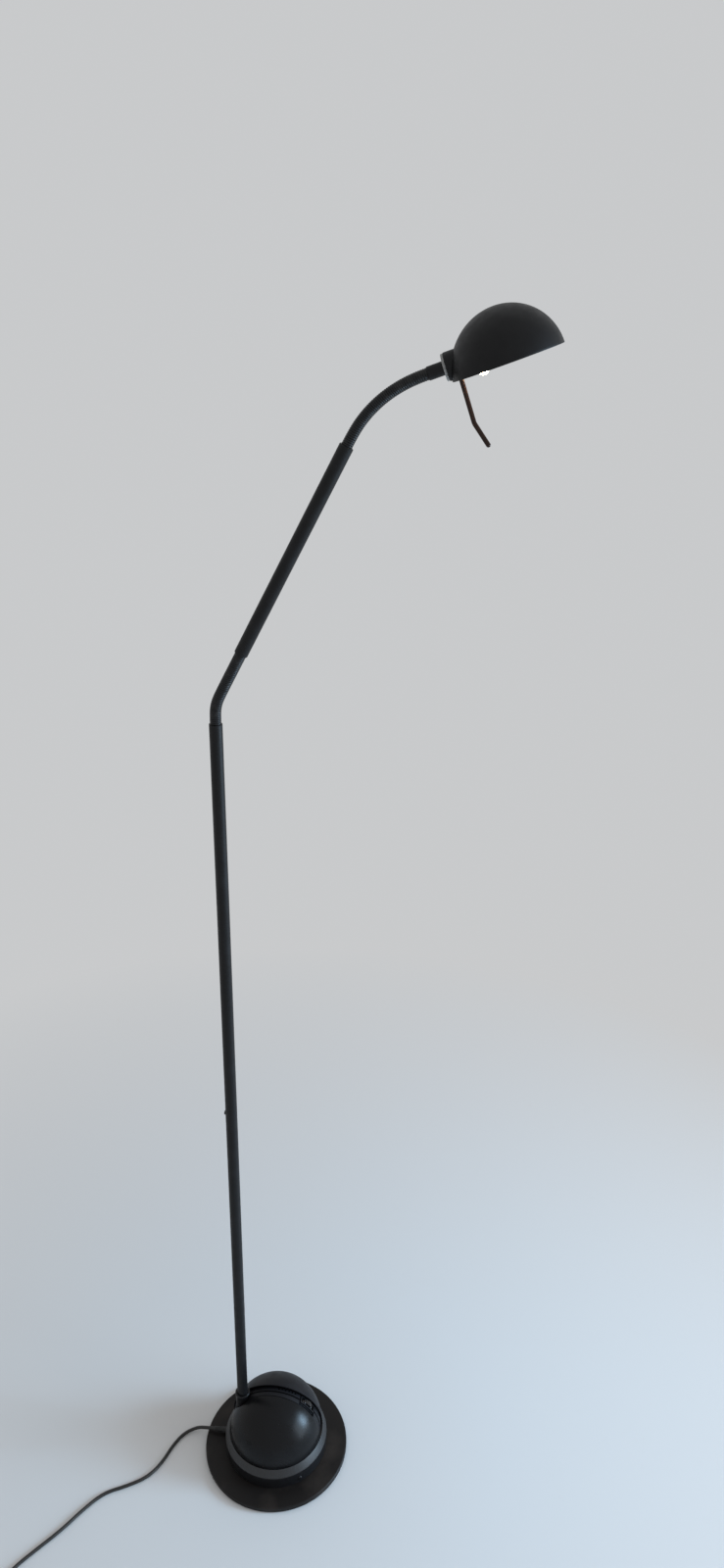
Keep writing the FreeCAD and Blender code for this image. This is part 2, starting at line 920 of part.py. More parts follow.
def shade_spacer():
    spacer = along_collar(spacer_radius, -shade_radius, strap_back).cut(nipple_hole())
    return spacer.common(shade_ball(shade_radius - shade_wall - seat_fit))


def reflector():
    inside = shade_radius - shade_wall
    outer = inside - reflector_gap
    bowl = ball_cap(outer).cut(ball_cap(outer - reflector_wall))
    bowl = bowl.cut(cylinder(inside, reflector_lift))
    low = reflector_lift - reflector_wall
    flange_inner = ball_reach(outer - reflector_wall, reflector_lift)
    flange_outer = ball_reach(inside, reflector_lift) - seat_fit
    flange = ring(flange_outer, flange_inner, reflector_wall, Z_AXIS * low)
    notch_x = reflector_notch - inside / 2
    notch = block(inside, reflector_notch_width, inside, notch_x, 0, 0)
    return joined([bowl, flange]).cut(notch)


def nut_start():
    return strap_back + strap_thickness


def neck_nipple():
    start = collar_back - washer_thickness - nipple_in_sleeve
    end = nut_start() + nut_thickness + nipple_past_nut
    return along_collar(nipple_radius, start, end).cut(along_collar(nipple_bore, start, end))


def nipple_nut():
    nut = hexagon(nut_width, nut_thickness, Vector(nut_start(), 0, collar_height), X_AXIS)
    return nut.cut(along_collar(nipple_radius + seat_fit, nut_start(), 0))


def side_line(points, distance):
    # the points moved sideways, with mitred corners, to the left of their path
    normals = []
    for (x1, z1), (x2, z2) in zip(points, points[1:]):
        run = math.hypot(x2 - x1, z2 - z1)
        normals.append(((z1 - z2) / run, (x2 - x1) / run))
    befores = [normals[0]] + normals
    afters = normals + [normals[-1]]
    moved = []
    for (x, z), before, after in zip(points, befores, afters):
        share = distance / (1 + before[0] * after[0] + before[1] * after[1])
        moved.append((x + (before[0] + after[0]) * share, z + (before[1] + after[1]) * share))
    return moved


def lamp_bracket():
    outer = [(strap_back, strap_foot), (strap_back, strap_shoulder),
             (strap_knee, strap_top), (strap_end, strap_top)]
    outline = outer + side_line(outer, -strap_thickness)[::-1]
    points = [Vector(x, -strap_width / 2, z) for x, z in outline]
    strap = Part.Face(Part.makePolygon(points + [points[0]])).extrude(Y_AXIS * strap_width)
    return strap.cut(nipple_hole())


def holder_base():
    return strap_top - strap_thickness - holder_height


def bulb_wires(spare):
    # two pins with their leads, and the filament between them
    top = holder_base() + pin_depth
    solids = []
    for side in (-1, 1):
        x = bulb_x + side * pin_spacing / 2
        pin_low = capsule_shoulder + capsule_wall
        solids.append(cylinder(pin_radius + spare, top - pin_low, Vector(x, 0, pin_low)))
        lead = Vector(x, 0, filament_height)
        solids.append(cylinder(lead_radius + spare, top - filament_height, lead))
    start = Vector(bulb_x - pin_spacing / 2, 0, filament_height)
    solids.append(cylinder(filament_radius + spare, pin_spacing, start, X_AXIS))
    return joined(solids)


def lamp_holder():
    holder = block(holder_width, holder_depth, holder_height, bulb_x, 0, holder_base())
    return holder.cut(bulb_wires(screw_fit))


def bulb_glass():
    tip_centre = Vector(bulb_x, 0, capsule_tip + capsule_radius)
    inner_radius = capsule_radius - capsule_wall
    outer = cylinder(capsule_radius, capsule_shoulder - tip_centre.z, tip_centre)
    inner = cylinder(inner_radius, capsule_shoulder - capsule_wall - tip_centre.z, tip_centre)
    outer = outer.fuse(Part.makeSphere(capsule_radius, tip_centre))
    inner = inner.fuse(Part.makeSphere(inner_radius, tip_centre))
    pinch_height = holder_base() - capsule_shoulder
    pinch = block(pinch_width, pinch_depth, pinch_height, bulb_x, 0, capsule_shoulder)
    return joined([outer, pinch]).cut(inner).cut(bulb_wires(seat_fit))


def handle_rod():
    x = strap_back - handle_radius
    top = Vector(x, 0, strap_foot + handle_weld)
    corner = Vector(x, 0, -handle_bend_drop)
    tip = Vector(x + handle_tip_reach, 0, -handle_tip_drop)
    down = corner - top
    out = tip - corner
    reach = handle_bend_radius * math.tan(down.getAngle(out) / 2)
    bend_start = corner - down.normalize() * reach
    bend_end = corner + out.normalize() * reach
    wire = Part.Wire([line(top, bend_start), tangent_arc(bend_start, down, bend_end),
                      line(bend_end, tip)])
    rod = tube_along(wire, handle_radius, top, down)
    return rod.fuse(Part.makeSphere(handle_radius, tip))


# Transformer and terminal block

def transformer():
    low = plate_top
    high = plate_top + transformer_height
    outer = transformer_radius
    bore = transformer_bore
    cut = transformer_chamfer
    toroid = revolved([
        (bore + cut, low), (outer - cut, low), (outer, low + cut), (outer, high - cut),
        (outer - cut, high), (bore + cut, high), (bore, high - cut), (bore, low + cut),
    ])
    toroid.translate(Vector(transformer_x, transformer_y, 0))
    return toroid


def transformer_dish():
    base = Vector(transformer_x, transformer_y, plate_top + transformer_height)
    return ring(dish_radius, transformer_bolt_radius + screw_fit, dish_thickness, base)


def transformer_bolt():
    reach = transformer_height + dish_thickness + bolt_nut_height + bolt_past_nut
    return screw_from_below(transformer_x, transformer_y, transformer_bolt_radius,
                            housing_head_radius, bolt_head_height, reach)


def transformer_nut():
    height = plate_top + transformer_height + dish_thickness
    base = Vector(transformer_x, transformer_y, height)
    nut = hexagon(bolt_nut_width, bolt_nut_height, base)
    return nut.cut(cylinder(transformer_bolt_radius + seat_fit, bolt_nut_height, base))


def terminal_block():
    body = block(terminal_length, terminal_width, terminal_height, terminal_x, terminal_y,
                 plate_top)
    for i in range(terminal_ways):
        x = terminal_x + (i - (terminal_ways - 1) / 2) * terminal_pitch
        front = Vector(x, terminal_y - terminal_width / 2, plate_top + terminal_height / 2)
        body = body.cut(cylinder(terminal_hole_radius, terminal_width, front, Y_AXIS))
    return body


# Strain relief and mains cord

def strain_relief():
    # turned about Z, with Z as the distance out from the base's axis, then laid along -X
    inner_wall = housing_radius - housing_wall
    inside = math.sqrt(inner_wall ** 2 - relief_flange_radius ** 2)
    flange = relief_flange_thickness
    bore = cord_radius + seat_fit
    tip = housing_radius + relief_length
    relief = revolved([
        (bore, inside - flange), (relief_flange_radius, inside - flange),
        (relief_flange_radius, inside), (relief_root_radius, inside),
        (relief_root_radius, housing_radius), (relief_flange_radius, housing_radius),
        (relief_flange_radius, housing_radius + flange),
        (relief_root_radius, housing_radius + flange), (relief_tip_radius, tip), (bore, tip),
    ])
    return leaned(relief, -90, Z_AXIS * cord_exit_height)


def mains_cord():
    points = [Vector(*point) for point in cord_route]
    wire, radii = rounded_route(points)
    cord = tube_along(wire, cord_radius, points[0], points[1] - points[0])
    expected = math.pi * cord_radius ** 2 * wire.Length
    print("cord radii", [round(r, 1) for r in radii])
    print("cord length", round(wire.Length, 1), "volume against section times length",
          round(cord.Volume / expected, 4))
    return cord


def coil_path():
    # Half turns that step inwards on the floor, one that climbs and half turns out again on top.
    # Each entry is a start, a heading and an end.
    last = Vector(*cord_route[-1])
    heading = (last - Vector(*cord_route[-2])).normalize()
    step = cord_radius + coil_gap / 2
    layer = 2 * step
    inward = [coil_radius - step * i for i in range(2 * coil_turns)]
    climb = inward[-1] - step
    outward = [climb + step * (i + 1) for i in range(2 * coil_turns - 1)]
    point = last + heading * 2 * cord_radius
    edges = [line(last, point)]
    for radius in inward + [climb] + outward:
        left = Vector(-heading.y, heading.x, 0)
        end = point + left * (2 * radius)
        if radius == climb:
            end = end + Z_AXIS * layer
        middle = (point + end) * 0.5 + heading * ((end - point).Length / 2)
        edges.append(tangent_arc(point, heading, middle))
        edges.append(tangent_arc(middle, (end - point).normalize(), end))
        point = end
        heading = heading * -1
    edges.append(line(point, point + heading * coil_exit_run))
    return Part.Wire(edges), heading


def least_gap(wire, radius):
    # between stretches that lie more than three diameters apart along the wire
    spacing = radius / 2
    points = [(p.x, p.y, p.z) for p in wire.discretize(Distance=spacing)]
    skip = int(6 * radius / spacing)
    least = min(math.dist(p, q) for i, p in enumerate(points) for q in points[i + skip:])
    return least - 2 * radius


def cord_coil():
    wire, heading = coil_path()
    start = Vector(*cord_route[-1])
    coil = tube_along(wire, cord_radius, start, start - Vector(*cord_route[-2]))
    expected = math.pi * cord_radius ** 2 * wire.Length
    print("coil length", round(wire.Length, 1), "least gap", round(least_gap(wire, cord_radius), 2))
    print("coil volume against section times length", round(coil.Volume / expected, 4))
    return coil


def on_plug(shape):
    # from a frame with its origin at the cord's end and +X along the pins
    wire, heading = coil_path()
    end = wire.Edges[-1].Vertexes[-1].Point
    copy = shape.copy()
    copy.rotate(ORIGIN, Z_AXIS, math.degrees(math.atan2(heading.y, heading.x)))
    copy.translate(end)
    return copy


def plug_body():
    # lies flat on the floor, so it is as thick as twice its cord's height
    half = coil_path()[0].Edges[-1].Vertexes[-1].Z
    body = block(plug_length, plug_width, 2 * half, plug_neck_length + plug_length / 2, 0, -half)
    upright = [e for e in body.Edges if e.BoundBox.ZLength > half]
    body = body.makeFillet(plug_corner, upright)
    neck = Part.makeCone(plug_neck_tip_radius, plug_neck_radius, plug_neck_length, ORIGIN, X_AXIS)
    body = body.fuse(neck)
    for y in pin_sides():
        base = Vector(plug_neck_length + plug_length - plug_corner, y, 0)
        body = body.cut(cylinder(plug_pin_radius + seat_fit, plug_length, base, X_AXIS))
    return on_plug(body)


def pin_sides():
    return [-plug_pin_spacing / 2, plug_pin_spacing / 2]


def plug_pins():
    start = plug_neck_length + plug_length - plug_corner
    length = plug_corner + plug_pin_length
    pins = [cylinder(plug_pin_radius, length, Vector(start, y, 0), X_AXIS) for y in pin_sides()]
    return on_plug(Part.Compound(pins))


# Every piece, by its node's name

export("floor_pad", cylinder(pad_radius, pad_thickness))
export("base_plate", base_plate())
export("lower_housing", lower_housing())
export("side_screw", side_screw())
export("front_dome", front_dome())
export("rear_dome", rear_dome())
export("vent_band", vent_band())
export("dimmer_wheel", dimmer_wheel())
export("dimmer_pot", dimmer_pot())
export("dimmer_board", dimmer_board())
export("dimmer_bracket", dimmer_bracket())
export("dimmer_screws", dimmer_screws())
export("transformer", transformer())
export("transformer_dish", transformer_dish())
export("transformer_bolt", transformer_bolt())
export("transformer_nut", transformer_nut())
export("terminal_block", terminal_block())
export("housing_screws", Part.Compound([
    screw_from_below(x, y, housing_screw_radius, housing_head_radius, housing_head_height,
                     housing_screw_depth) for x, y in post_places()]))

export("pole_socket", pole_socket())
export("socket_screws", socket_screws())
export("pole_foot_plug", pole_foot_plug())
export("pole_bolt", screw_from_below(pole_x, 0, pole_bolt_radius, pole_bolt_head_radius,
                                     pole_bolt_head_height, pole_bolt_reach))
export("lower_pole", lower_pole())
export("upper_pole", upper_pole())
export("pole_spigot", pole_spigot())
export("pole_joint_screw", pole_joint_screw())

lower_tail = link_radii(lower_neck_radius)[1]
upper_tail = link_radii(upper_neck_radius)[1]
export("pole_top_bush", leaned(tube_bush(lower_tail), 180, Vector(pole_x, 0, pole_top())))
export_neck("lower_neck", lower_places, lower_links, lower_neck_radius, link_tail)
export("arm_lower_bush", leaned(tube_bush(lower_tail), arm_lean, arm_foot))
export("arm_tube", arm_tube())
export("arm_upper_bush", leaned(tube_bush(upper_tail), arm_lean + 180, arm_head))
export_neck("upper_neck", upper_places, upper_links, upper_neck_radius,
            sleeve_step() - open_gap)
export("neck_sleeve", neck_sleeve())

head_pieces = {
    "head_washer": head_washer(),
    "shade_collar": shade_collar(),
    "shade": shade(),
    "shade_spacer": shade_spacer(),
    "reflector": reflector(),
    "neck_nipple": neck_nipple(),
    "nipple_nut": nipple_nut(),
    "lamp_bracket": lamp_bracket(),
    "lamp_holder": lamp_holder(),
    "bulb_glass": bulb_glass(),
    "bulb_filament": bulb_wires(0),
    "handle_rod": handle_rod(),
}
for node, shape in head_pieces.items():
    export(node, on_head(shape))

export("strain_relief", strain_relief())
export("mains_cord", mains_cord())
export("cord_coil", cord_coil())
export("plug_body", plug_body())
export("plug_pins", plug_pins())
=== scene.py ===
import json
import math

import bpy
from mathutils import Matrix, Vector


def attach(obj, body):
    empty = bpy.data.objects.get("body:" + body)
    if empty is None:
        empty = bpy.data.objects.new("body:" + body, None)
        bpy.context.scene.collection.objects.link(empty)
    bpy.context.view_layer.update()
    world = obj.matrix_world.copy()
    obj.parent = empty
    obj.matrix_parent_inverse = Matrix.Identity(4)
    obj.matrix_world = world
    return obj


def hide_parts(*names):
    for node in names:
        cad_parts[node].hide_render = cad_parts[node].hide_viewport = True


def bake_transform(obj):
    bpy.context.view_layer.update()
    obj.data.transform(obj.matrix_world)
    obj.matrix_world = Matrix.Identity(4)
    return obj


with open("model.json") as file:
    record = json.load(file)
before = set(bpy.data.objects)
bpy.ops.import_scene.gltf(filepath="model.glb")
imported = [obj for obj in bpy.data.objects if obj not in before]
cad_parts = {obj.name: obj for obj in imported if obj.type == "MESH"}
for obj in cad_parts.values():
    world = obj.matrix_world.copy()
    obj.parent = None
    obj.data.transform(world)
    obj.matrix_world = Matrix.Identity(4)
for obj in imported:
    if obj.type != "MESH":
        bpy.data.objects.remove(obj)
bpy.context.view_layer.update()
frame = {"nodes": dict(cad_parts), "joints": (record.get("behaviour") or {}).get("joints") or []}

# Gooseneck reading floor lamp, in metres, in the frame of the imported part.
# The pole stands to the left of the base's middle, and the arm and the head lean over to the right.

MM = 0.001
X_AXIS = Vector((1, 0, 0))
Z_AXIS = Vector((0, 0, 1))
nodes = frame["nodes"]
joint_places = {joint["name"]: Vector(joint["pos_m"]) for joint in frame["joints"]}

# Sizes that the base's pieces share
plate_top = 9.5 * MM
drum_radius = 79.5 * MM
drum_top = 30.0 * MM
ring_top = 41.3 * MM
seat_radius = 72.8 * MM
ledge_height = 39.5 * MM
ledge_inner = 64.8 * MM
wall = 2.5 * MM
side_screw_angle = -51.8
side_screw_height = 18.4 * MM
dome_radius = 72.5 * MM
dome_wall = 2.2 * MM
edge_ease = 0.45 * MM          # of the domes' edges and the dimmer's frame
rear_dome_rise = 5.2 * MM
front_parting = -10.6 * MM
front_parting_slope = 0.06
rear_parting = 14.5 * MM
rear_parting_slope = -0.07
arch_height = 43.5 * MM
arch_radius = 67.0 * MM
rib_radius = 70.0 * MM
pole_x = -52.2 * MM
pole_room = 11.7 * MM

# Pocket, thumbwheel and vents on the arch. Angles run from the top towards +X, in degrees.
dimmer_angle = 46.0
dimmer_place = joint_places["dimmer_turn"]
wheel_radius = 12.5 * MM
wheel_width = 7.0 * MM
shaft_radius = 2.0 * MM
shaft_length = 8.2 * MM
slot_length = 25.5 * MM
slot_width = 8.2 * MM
pocket_length = 32.4 * MM
pocket_width = 19.0 * MM
pocket_y = 1.7 * MM
frame_rim = 1.6 * MM
frame_radius = 70.6 * MM
step_rim = 2.9 * MM
step_radius = 68.3 * MM
rib_groove = 2.4 * MM
rib_groove_y = 2.3 * MM
vent_count = 6
vent_width = 2.2 * MM
vent_start_angle = 3.5
vent_step_angle = 4.4
vent_rows = [(rib_groove_y, 2.0 * MM), (8.4 * MM, 3.6 * MM)]

# Pole, goosenecks and arm
tube_radius = 8.0 * MM
tube_bore = 6.8 * MM
pole_seam = 652.0 * MM
pole_top = 1210.0 * MM
pole_screw_drop = 6.5 * MM
socket_top = 108.0 * MM
lower_neck_radius = 6.8 * MM
upper_neck_radius = 6.25 * MM
arm_lean = 27.5
arm_length = 260.0 * MM
lower_tail = 33.0 * MM         # ribbed length between the last lower joint and the arm
upper_tail = 14.5 * MM         # ribbed length between the last upper joint and the sleeve

# Head, in its own frame: the middle of the rim, +X away from the neck, +Z the crown
head_lean = 70.0
shade_radius = 57.8 * MM       # of the ball that the shade is cut from
shade_cut = 3.1 * MM           # of its rim above that ball's centre
shade_wall = 1.0 * MM
nipple_hole = 5.2 * MM
sleeve_length = 17.0 * MM
washer_thickness = 2.6 * MM
collar_back = -59.5 * MM
collar_height = 15.9 * MM
collar_radius = 14.2 * MM
collar_length = 16.0 * MM
bulb_x = -25.1 * MM
strap_back = -46.2 * MM

# Cord
cord_radius = 2.5 * MM
cord_height = 16.0 * MM

# Spinning and merging
round_steps = 128
small_steps = 48
merge_distance = 0.002 * MM


# Camera, at the photograph's viewing angle

def make_camera():
    heading = math.radians(-7.0)
    pitch = math.radians(22.593)
    roll = math.radians(0.838)
    lens_in_pixels = 1112.0
    image_height = 1600.0
    long_side = 36.0
    place = (0.2657, -1.1743, 1.6376)
    data = bpy.data.cameras.new("photo_camera")
    data.sensor_fit = "AUTO"
    data.sensor_width = long_side
    data.lens = lens_in_pixels / image_height * long_side
    camera = bpy.data.objects.new("photo_camera", data)
    bpy.context.scene.collection.objects.link(camera)
    turn = Matrix.Rotation(-heading, 4, "Z") @ Matrix.Rotation(math.pi / 2 - pitch, 4, "X")
    turn = turn @ Matrix.Rotation(roll, 4, "Z")
    camera.matrix_world = Matrix.Translation(place) @ turn
    bpy.context.scene.camera = camera


# Modelling by hand

def deselect():
    bpy.ops.object.select_all(action="DESELECT")


def pick(piece):
    deselect()
    piece.select_set(True)
    bpy.context.view_layer.objects.active = piece


def first_corner(name, corner):
    # a plane merged to one corner, from which an outline is drawn
    deselect()
    bpy.ops.mesh.primitive_plane_add(size=MM)
    piece = bpy.context.object
    piece.name = name
    piece.data.name = name
    bpy.ops.object.mode_set(mode="EDIT")
    bpy.ops.mesh.select_all(action="SELECT")
    bpy.ops.mesh.merge(type="CENTER")
    bpy.ops.transform.translate(value=corner)
    return piece


def lathe(name, outline, steps=round_steps):
    # an outline of (radius, height) points, spun about Z
    points = [Vector((radius, 0, height)) for radius, height in outline]
    piece = first_corner(name, points[0])
    for before, point in zip(points, points[1:]):
        bpy.ops.mesh.extrude_vertices_move(TRANSFORM_OT_translate={"value": point - before})
    bpy.ops.mesh.select_all(action="SELECT")
    bpy.ops.mesh.spin(steps=steps, angle=math.tau, center=(0, 0, 0), axis=(0, 0, 1))
    bpy.ops.mesh.select_all(action="SELECT")
    bpy.ops.mesh.remove_doubles(threshold=merge_distance)
    bpy.ops.mesh.normals_make_consistent(inside=False)
    bpy.ops.object.mode_set(mode="OBJECT")
    return piece


def closed(outline):
    return outline + [outline[0]]


def arc(centre, radius, start, end, steps):
    # points round a centre, by angles in degrees from +radius towards +height
    turns = [math.radians(start + (end - start) * i / steps) for i in range(steps + 1)]
    return [(centre[0] + radius * math.cos(t), centre[1] + radius * math.sin(t)) for t in turns]


def box(name, size, centre, rounding=0.0, steps=2):
    deselect()
    bpy.ops.mesh.primitive_cube_add(size=1)
    piece = bpy.context.object
    piece.name = name
    piece.data.name = name
    piece.data.transform(Matrix.Translation(centre) @ Matrix.Diagonal((*size, 1)))
    if rounding:
        bpy.ops.object.mode_set(mode="EDIT")
        bpy.ops.mesh.select_all(action="SELECT")
        bpy.ops.mesh.bevel(offset=rounding, segments=steps)
        bpy.ops.object.mode_set(mode="OBJECT")
    return piece


def applied(piece, kind, **settings):
    modifier = piece.modifiers.new(kind.lower(), kind)
    for setting, value in settings.items():
        setattr(modifier, setting, value)
    pick(piece)
    bpy.ops.object.modifier_apply(modifier=modifier.name)
    return piece


def cut(piece, *tools, operation="DIFFERENCE"):
    for tool in tools:
        applied(piece, "BOOLEAN", object=tool, operation=operation, solver="MANIFOLD")
        bpy.data.objects.remove(tool)
    return piece


def eased(piece, width, steps=2, angle=40.0):
    # rounds the edges that are sharper than the angle
    return applied(piece, "BEVEL", width=width, segments=steps, limit_method="ANGLE",
                   angle_limit=math.radians(angle), use_clamp_overlap=True)


def sliced(piece, point, normal):
    # keeps what lies against the normal, and closes the cut
    pick(piece)
    bpy.ops.object.mode_set(mode="EDIT")
    bpy.ops.mesh.select_all(action="SELECT")
    bpy.ops.mesh.bisect(plane_co=point, plane_no=normal, use_fill=True, clear_outer=True)
    bpy.ops.object.mode_set(mode="OBJECT")
    return piece


def smooth(piece, angle=35.0):
    pick(piece)
    bpy.ops.object.shade_smooth_by_angle(angle=math.radians(angle))
    return piece


def joined(*pieces):
    pick(pieces[0])
    for piece in pieces[1:]:
        piece.select_set(True)
    bpy.ops.object.join()
    return pieces[0]


def moved(piece, matrix):
    piece.data.transform(matrix)
    return piece


def leaned(lean, place):
    # stands a piece at its place, leaning towards +X by the angle
    return Matrix.Translation(place) @ Matrix.Rotation(math.radians(lean), 4, "Y")


def direction(lean):
    return Vector((math.sin(math.radians(lean)), 0, math.cos(math.radians(lean))))


def dress(piece, body, slot, *replaced):
    piece.data.materials.clear()
    piece.data.materials.append(finishes[slot])
    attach(piece, body)
    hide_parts(*replaced)
    return piece


# Finishes

def new_finish(name):
    material = bpy.data.materials.new(name)
    material.use_nodes = True
    return material, material.node_tree, material.node_tree.nodes["Principled BSDF"]


def mapped_noise(tree, size, detail=4.0, stretch=(1, 1, 1)):
    # noise in the object's own coordinates, with grains of about the given size
    place = tree.nodes.new("ShaderNodeTexCoord")
    mapping = tree.nodes.new("ShaderNodeMapping")
    mapping.inputs["Scale"].default_value = stretch
    noise = tree.nodes.new("ShaderNodeTexNoise")
    noise.inputs["Scale"].default_value = 1 / size
    noise.inputs["Detail"].default_value = detail
    tree.links.new(place.outputs["Object"], mapping.inputs["Vector"])
    tree.links.new(mapping.outputs["Vector"], noise.inputs["Vector"])
    return noise.outputs["Fac"]


def spread(tree, source, from_low, from_high, to_low, to_high):
    node = tree.nodes.new("ShaderNodeMapRange")
    values = {"From Min": from_low, "From Max": from_high, "To Min": to_low, "To Max": to_high}
    for socket, value in values.items():
        node.inputs[socket].default_value = value
    tree.links.new(source, node.inputs["Value"])
    return node.outputs["Result"]


def blended(tree, share, first, second):
    node = tree.nodes.new("ShaderNodeMix")
    node.data_type = "RGBA"
    for socket in node.inputs:
        if socket.name == "A" and socket.type == "RGBA":
            socket.default_value = (*first, 1)
        if socket.name == "B" and socket.type == "RGBA":
            socket.default_value = (*second, 1)
        if socket.name == "Factor" and socket.type == "VALUE":
            tree.links.new(share, socket)
    return [socket for socket in node.outputs if socket.type == "RGBA"][0]


def bumped(tree, shader, source, height, before=None):
    bump = tree.nodes.new("ShaderNodeBump")
    bump.inputs["Distance"].default_value = height
    tree.links.new(source, bump.inputs["Height"])
    if before:
        tree.links.new(before.outputs["Normal"], bump.inputs["Normal"])
    tree.links.new(bump.outputs["Normal"], shader.inputs["Normal"])
    return bump


def painted(name, colour, worn, roughness, grain, grain_height, patch=40 * MM, metal=0.0,
            specular=0.5):
    # a coat with fine grain, patches of more and less gloss, and faint dusty marks
    material, tree, shader = new_finish(name)
    shader.inputs["Metallic"].default_value = metal
    shader.inputs["Specular IOR Level"].default_value = specular
    patches = mapped_noise(tree, patch, 5.0)
    marks = spread(tree, patches, 0.50, 0.78, 0.0, 1.0)
    tree.links.new(blended(tree, marks, colour, worn), shader.inputs["Base Color"])
    gloss = spread(tree, mapped_noise(tree, patch / 3, 6.0), 0.3, 0.7,
                   roughness - 0.06, roughness + 0.08)
    tree.links.new(gloss, shader.inputs["Roughness"])
    bumped(tree, shader, mapped_noise(tree, grain, 3.0), grain_height)
    return material


def ring_paint(name, colour, worn, roughness, specular):
    # the bevelled ring: fine streaks up its slope, which the light picks out
    streak_scale = 420.0
    material, tree, shader = new_finish(name)
    shader.inputs["Specular IOR Level"].default_value = specular
    place = tree.nodes.new("ShaderNodeTexCoord")
    round_angle = tree.nodes.new("ShaderNodeTexGradient")
    round_angle.gradient_type = "RADIAL"
    tree.links.new(place.outputs["Object"], round_angle.inputs["Vector"])
    streaks = tree.nodes.new("ShaderNodeTexNoise")
    streaks.noise_dimensions = "1D"
    streaks.inputs["Scale"].default_value = streak_scale
    streaks.inputs["Detail"].default_value = 6.0
    tree.links.new(round_angle.outputs["Fac"], streaks.inputs["W"])
    height = tree.nodes.new("ShaderNodeSeparateXYZ")
    tree.links.new(place.outputs["Object"], height.inputs["Vector"])
    slope = spread(tree, height.outputs["Z"], drum_top, drum_top + 1.5 * MM, 0.0, 1.0)
    on_slope = tree.nodes.new("ShaderNodeMath")
    on_slope.operation = "MULTIPLY"
    tree.links.new(streaks.outputs["Fac"], on_slope.inputs[0])
    tree.links.new(slope, on_slope.inputs[1])
    marks = spread(tree, on_slope.outputs["Value"], 0.42, 0.8, 0.0, 1.0)
    tree.links.new(blended(tree, marks, colour, worn), shader.inputs["Base Color"])
    gloss = spread(tree, on_slope.outputs["Value"], 0.3, 0.7, roughness, roughness + 0.16)
    tree.links.new(gloss, shader.inputs["Roughness"])
    first = bumped(tree, shader, on_slope.outputs["Value"], 0.02 * MM)
    bumped(tree, shader, mapped_noise(tree, 0.8 * MM), 0.015 * MM, first)
    return material


def bare_metal(name, colour, roughness, stretch=(1, 1, 1), tarnish=(0.2, 0.18, 0.16)):
    material, tree, shader = new_finish(name)
    shader.inputs["Metallic"].default_value = 1.0
    marks = spread(tree, mapped_noise(tree, 3 * MM, 6.0, stretch), 0.45, 0.75, 0.0, 0.6)
    tree.links.new(blended(tree, marks, colour, tarnish), shader.inputs["Base Color"])
    gloss = spread(tree, mapped_noise(tree, 1.2 * MM, 5.0, stretch), 0.3, 0.7,
                   roughness - 0.08, roughness + 0.12)
    tree.links.new(gloss, shader.inputs["Roughness"])
    bumped(tree, shader, mapped_noise(tree, 0.5 * MM, 3.0, stretch), 0.01 * MM)
    return material


def felt(name, colour, worn):
    material, tree, shader = new_finish(name)
    fibres = mapped_noise(tree, 0.35 * MM, 8.0)
    share = spread(tree, fibres, 0.35, 0.7, 0.0, 1.0)
    tree.links.new(blended(tree, share, colour, worn), shader.inputs["Base Color"])
    shader.inputs["Roughness"].default_value = 0.95
    shader.inputs["Sheen Weight"].default_value = 0.4
    bumped(tree, shader, fibres, 0.15 * MM)
    return material


def glowing_glass(name):
    # the lit capsule: clear quartz so bright that it reads as warm white
    material, tree, shader = new_finish(name)
    shader.inputs["Base Color"].default_value = (1.0, 0.93, 0.82, 1)
    shader.inputs["Roughness"].default_value = 0.08
    shader.inputs["Emission Color"].default_value = (1.0, 0.72, 0.42, 1)
    glow = spread(tree, mapped_noise(tree, 4 * MM, 2.0), 0.3, 0.7, 34.0, 46.0)
    tree.links.new(glow, shader.inputs["Emission Strength"])
    return material


def translucent_nylon(name):
    material, tree, shader = new_finish(name)
    cloud = mapped_noise(tree, 4 * MM, 4.0)
    share = spread(tree, cloud, 0.35, 0.7, 0.0, 1.0)
    tree.links.new(blended(tree, share, (0.34, 0.34, 0.33), (0.26, 0.26, 0.25)),
                   shader.inputs["Base Color"])
    shader.inputs["Roughness"].default_value = 0.42
    shader.inputs["Subsurface Weight"].default_value = 0.25
    shader.inputs["Subsurface Radius"].default_value = (2 * MM, 2 * MM, 2 * MM)
    bumped(tree, shader, mapped_noise(tree, 0.7 * MM), 0.02 * MM)
    return material


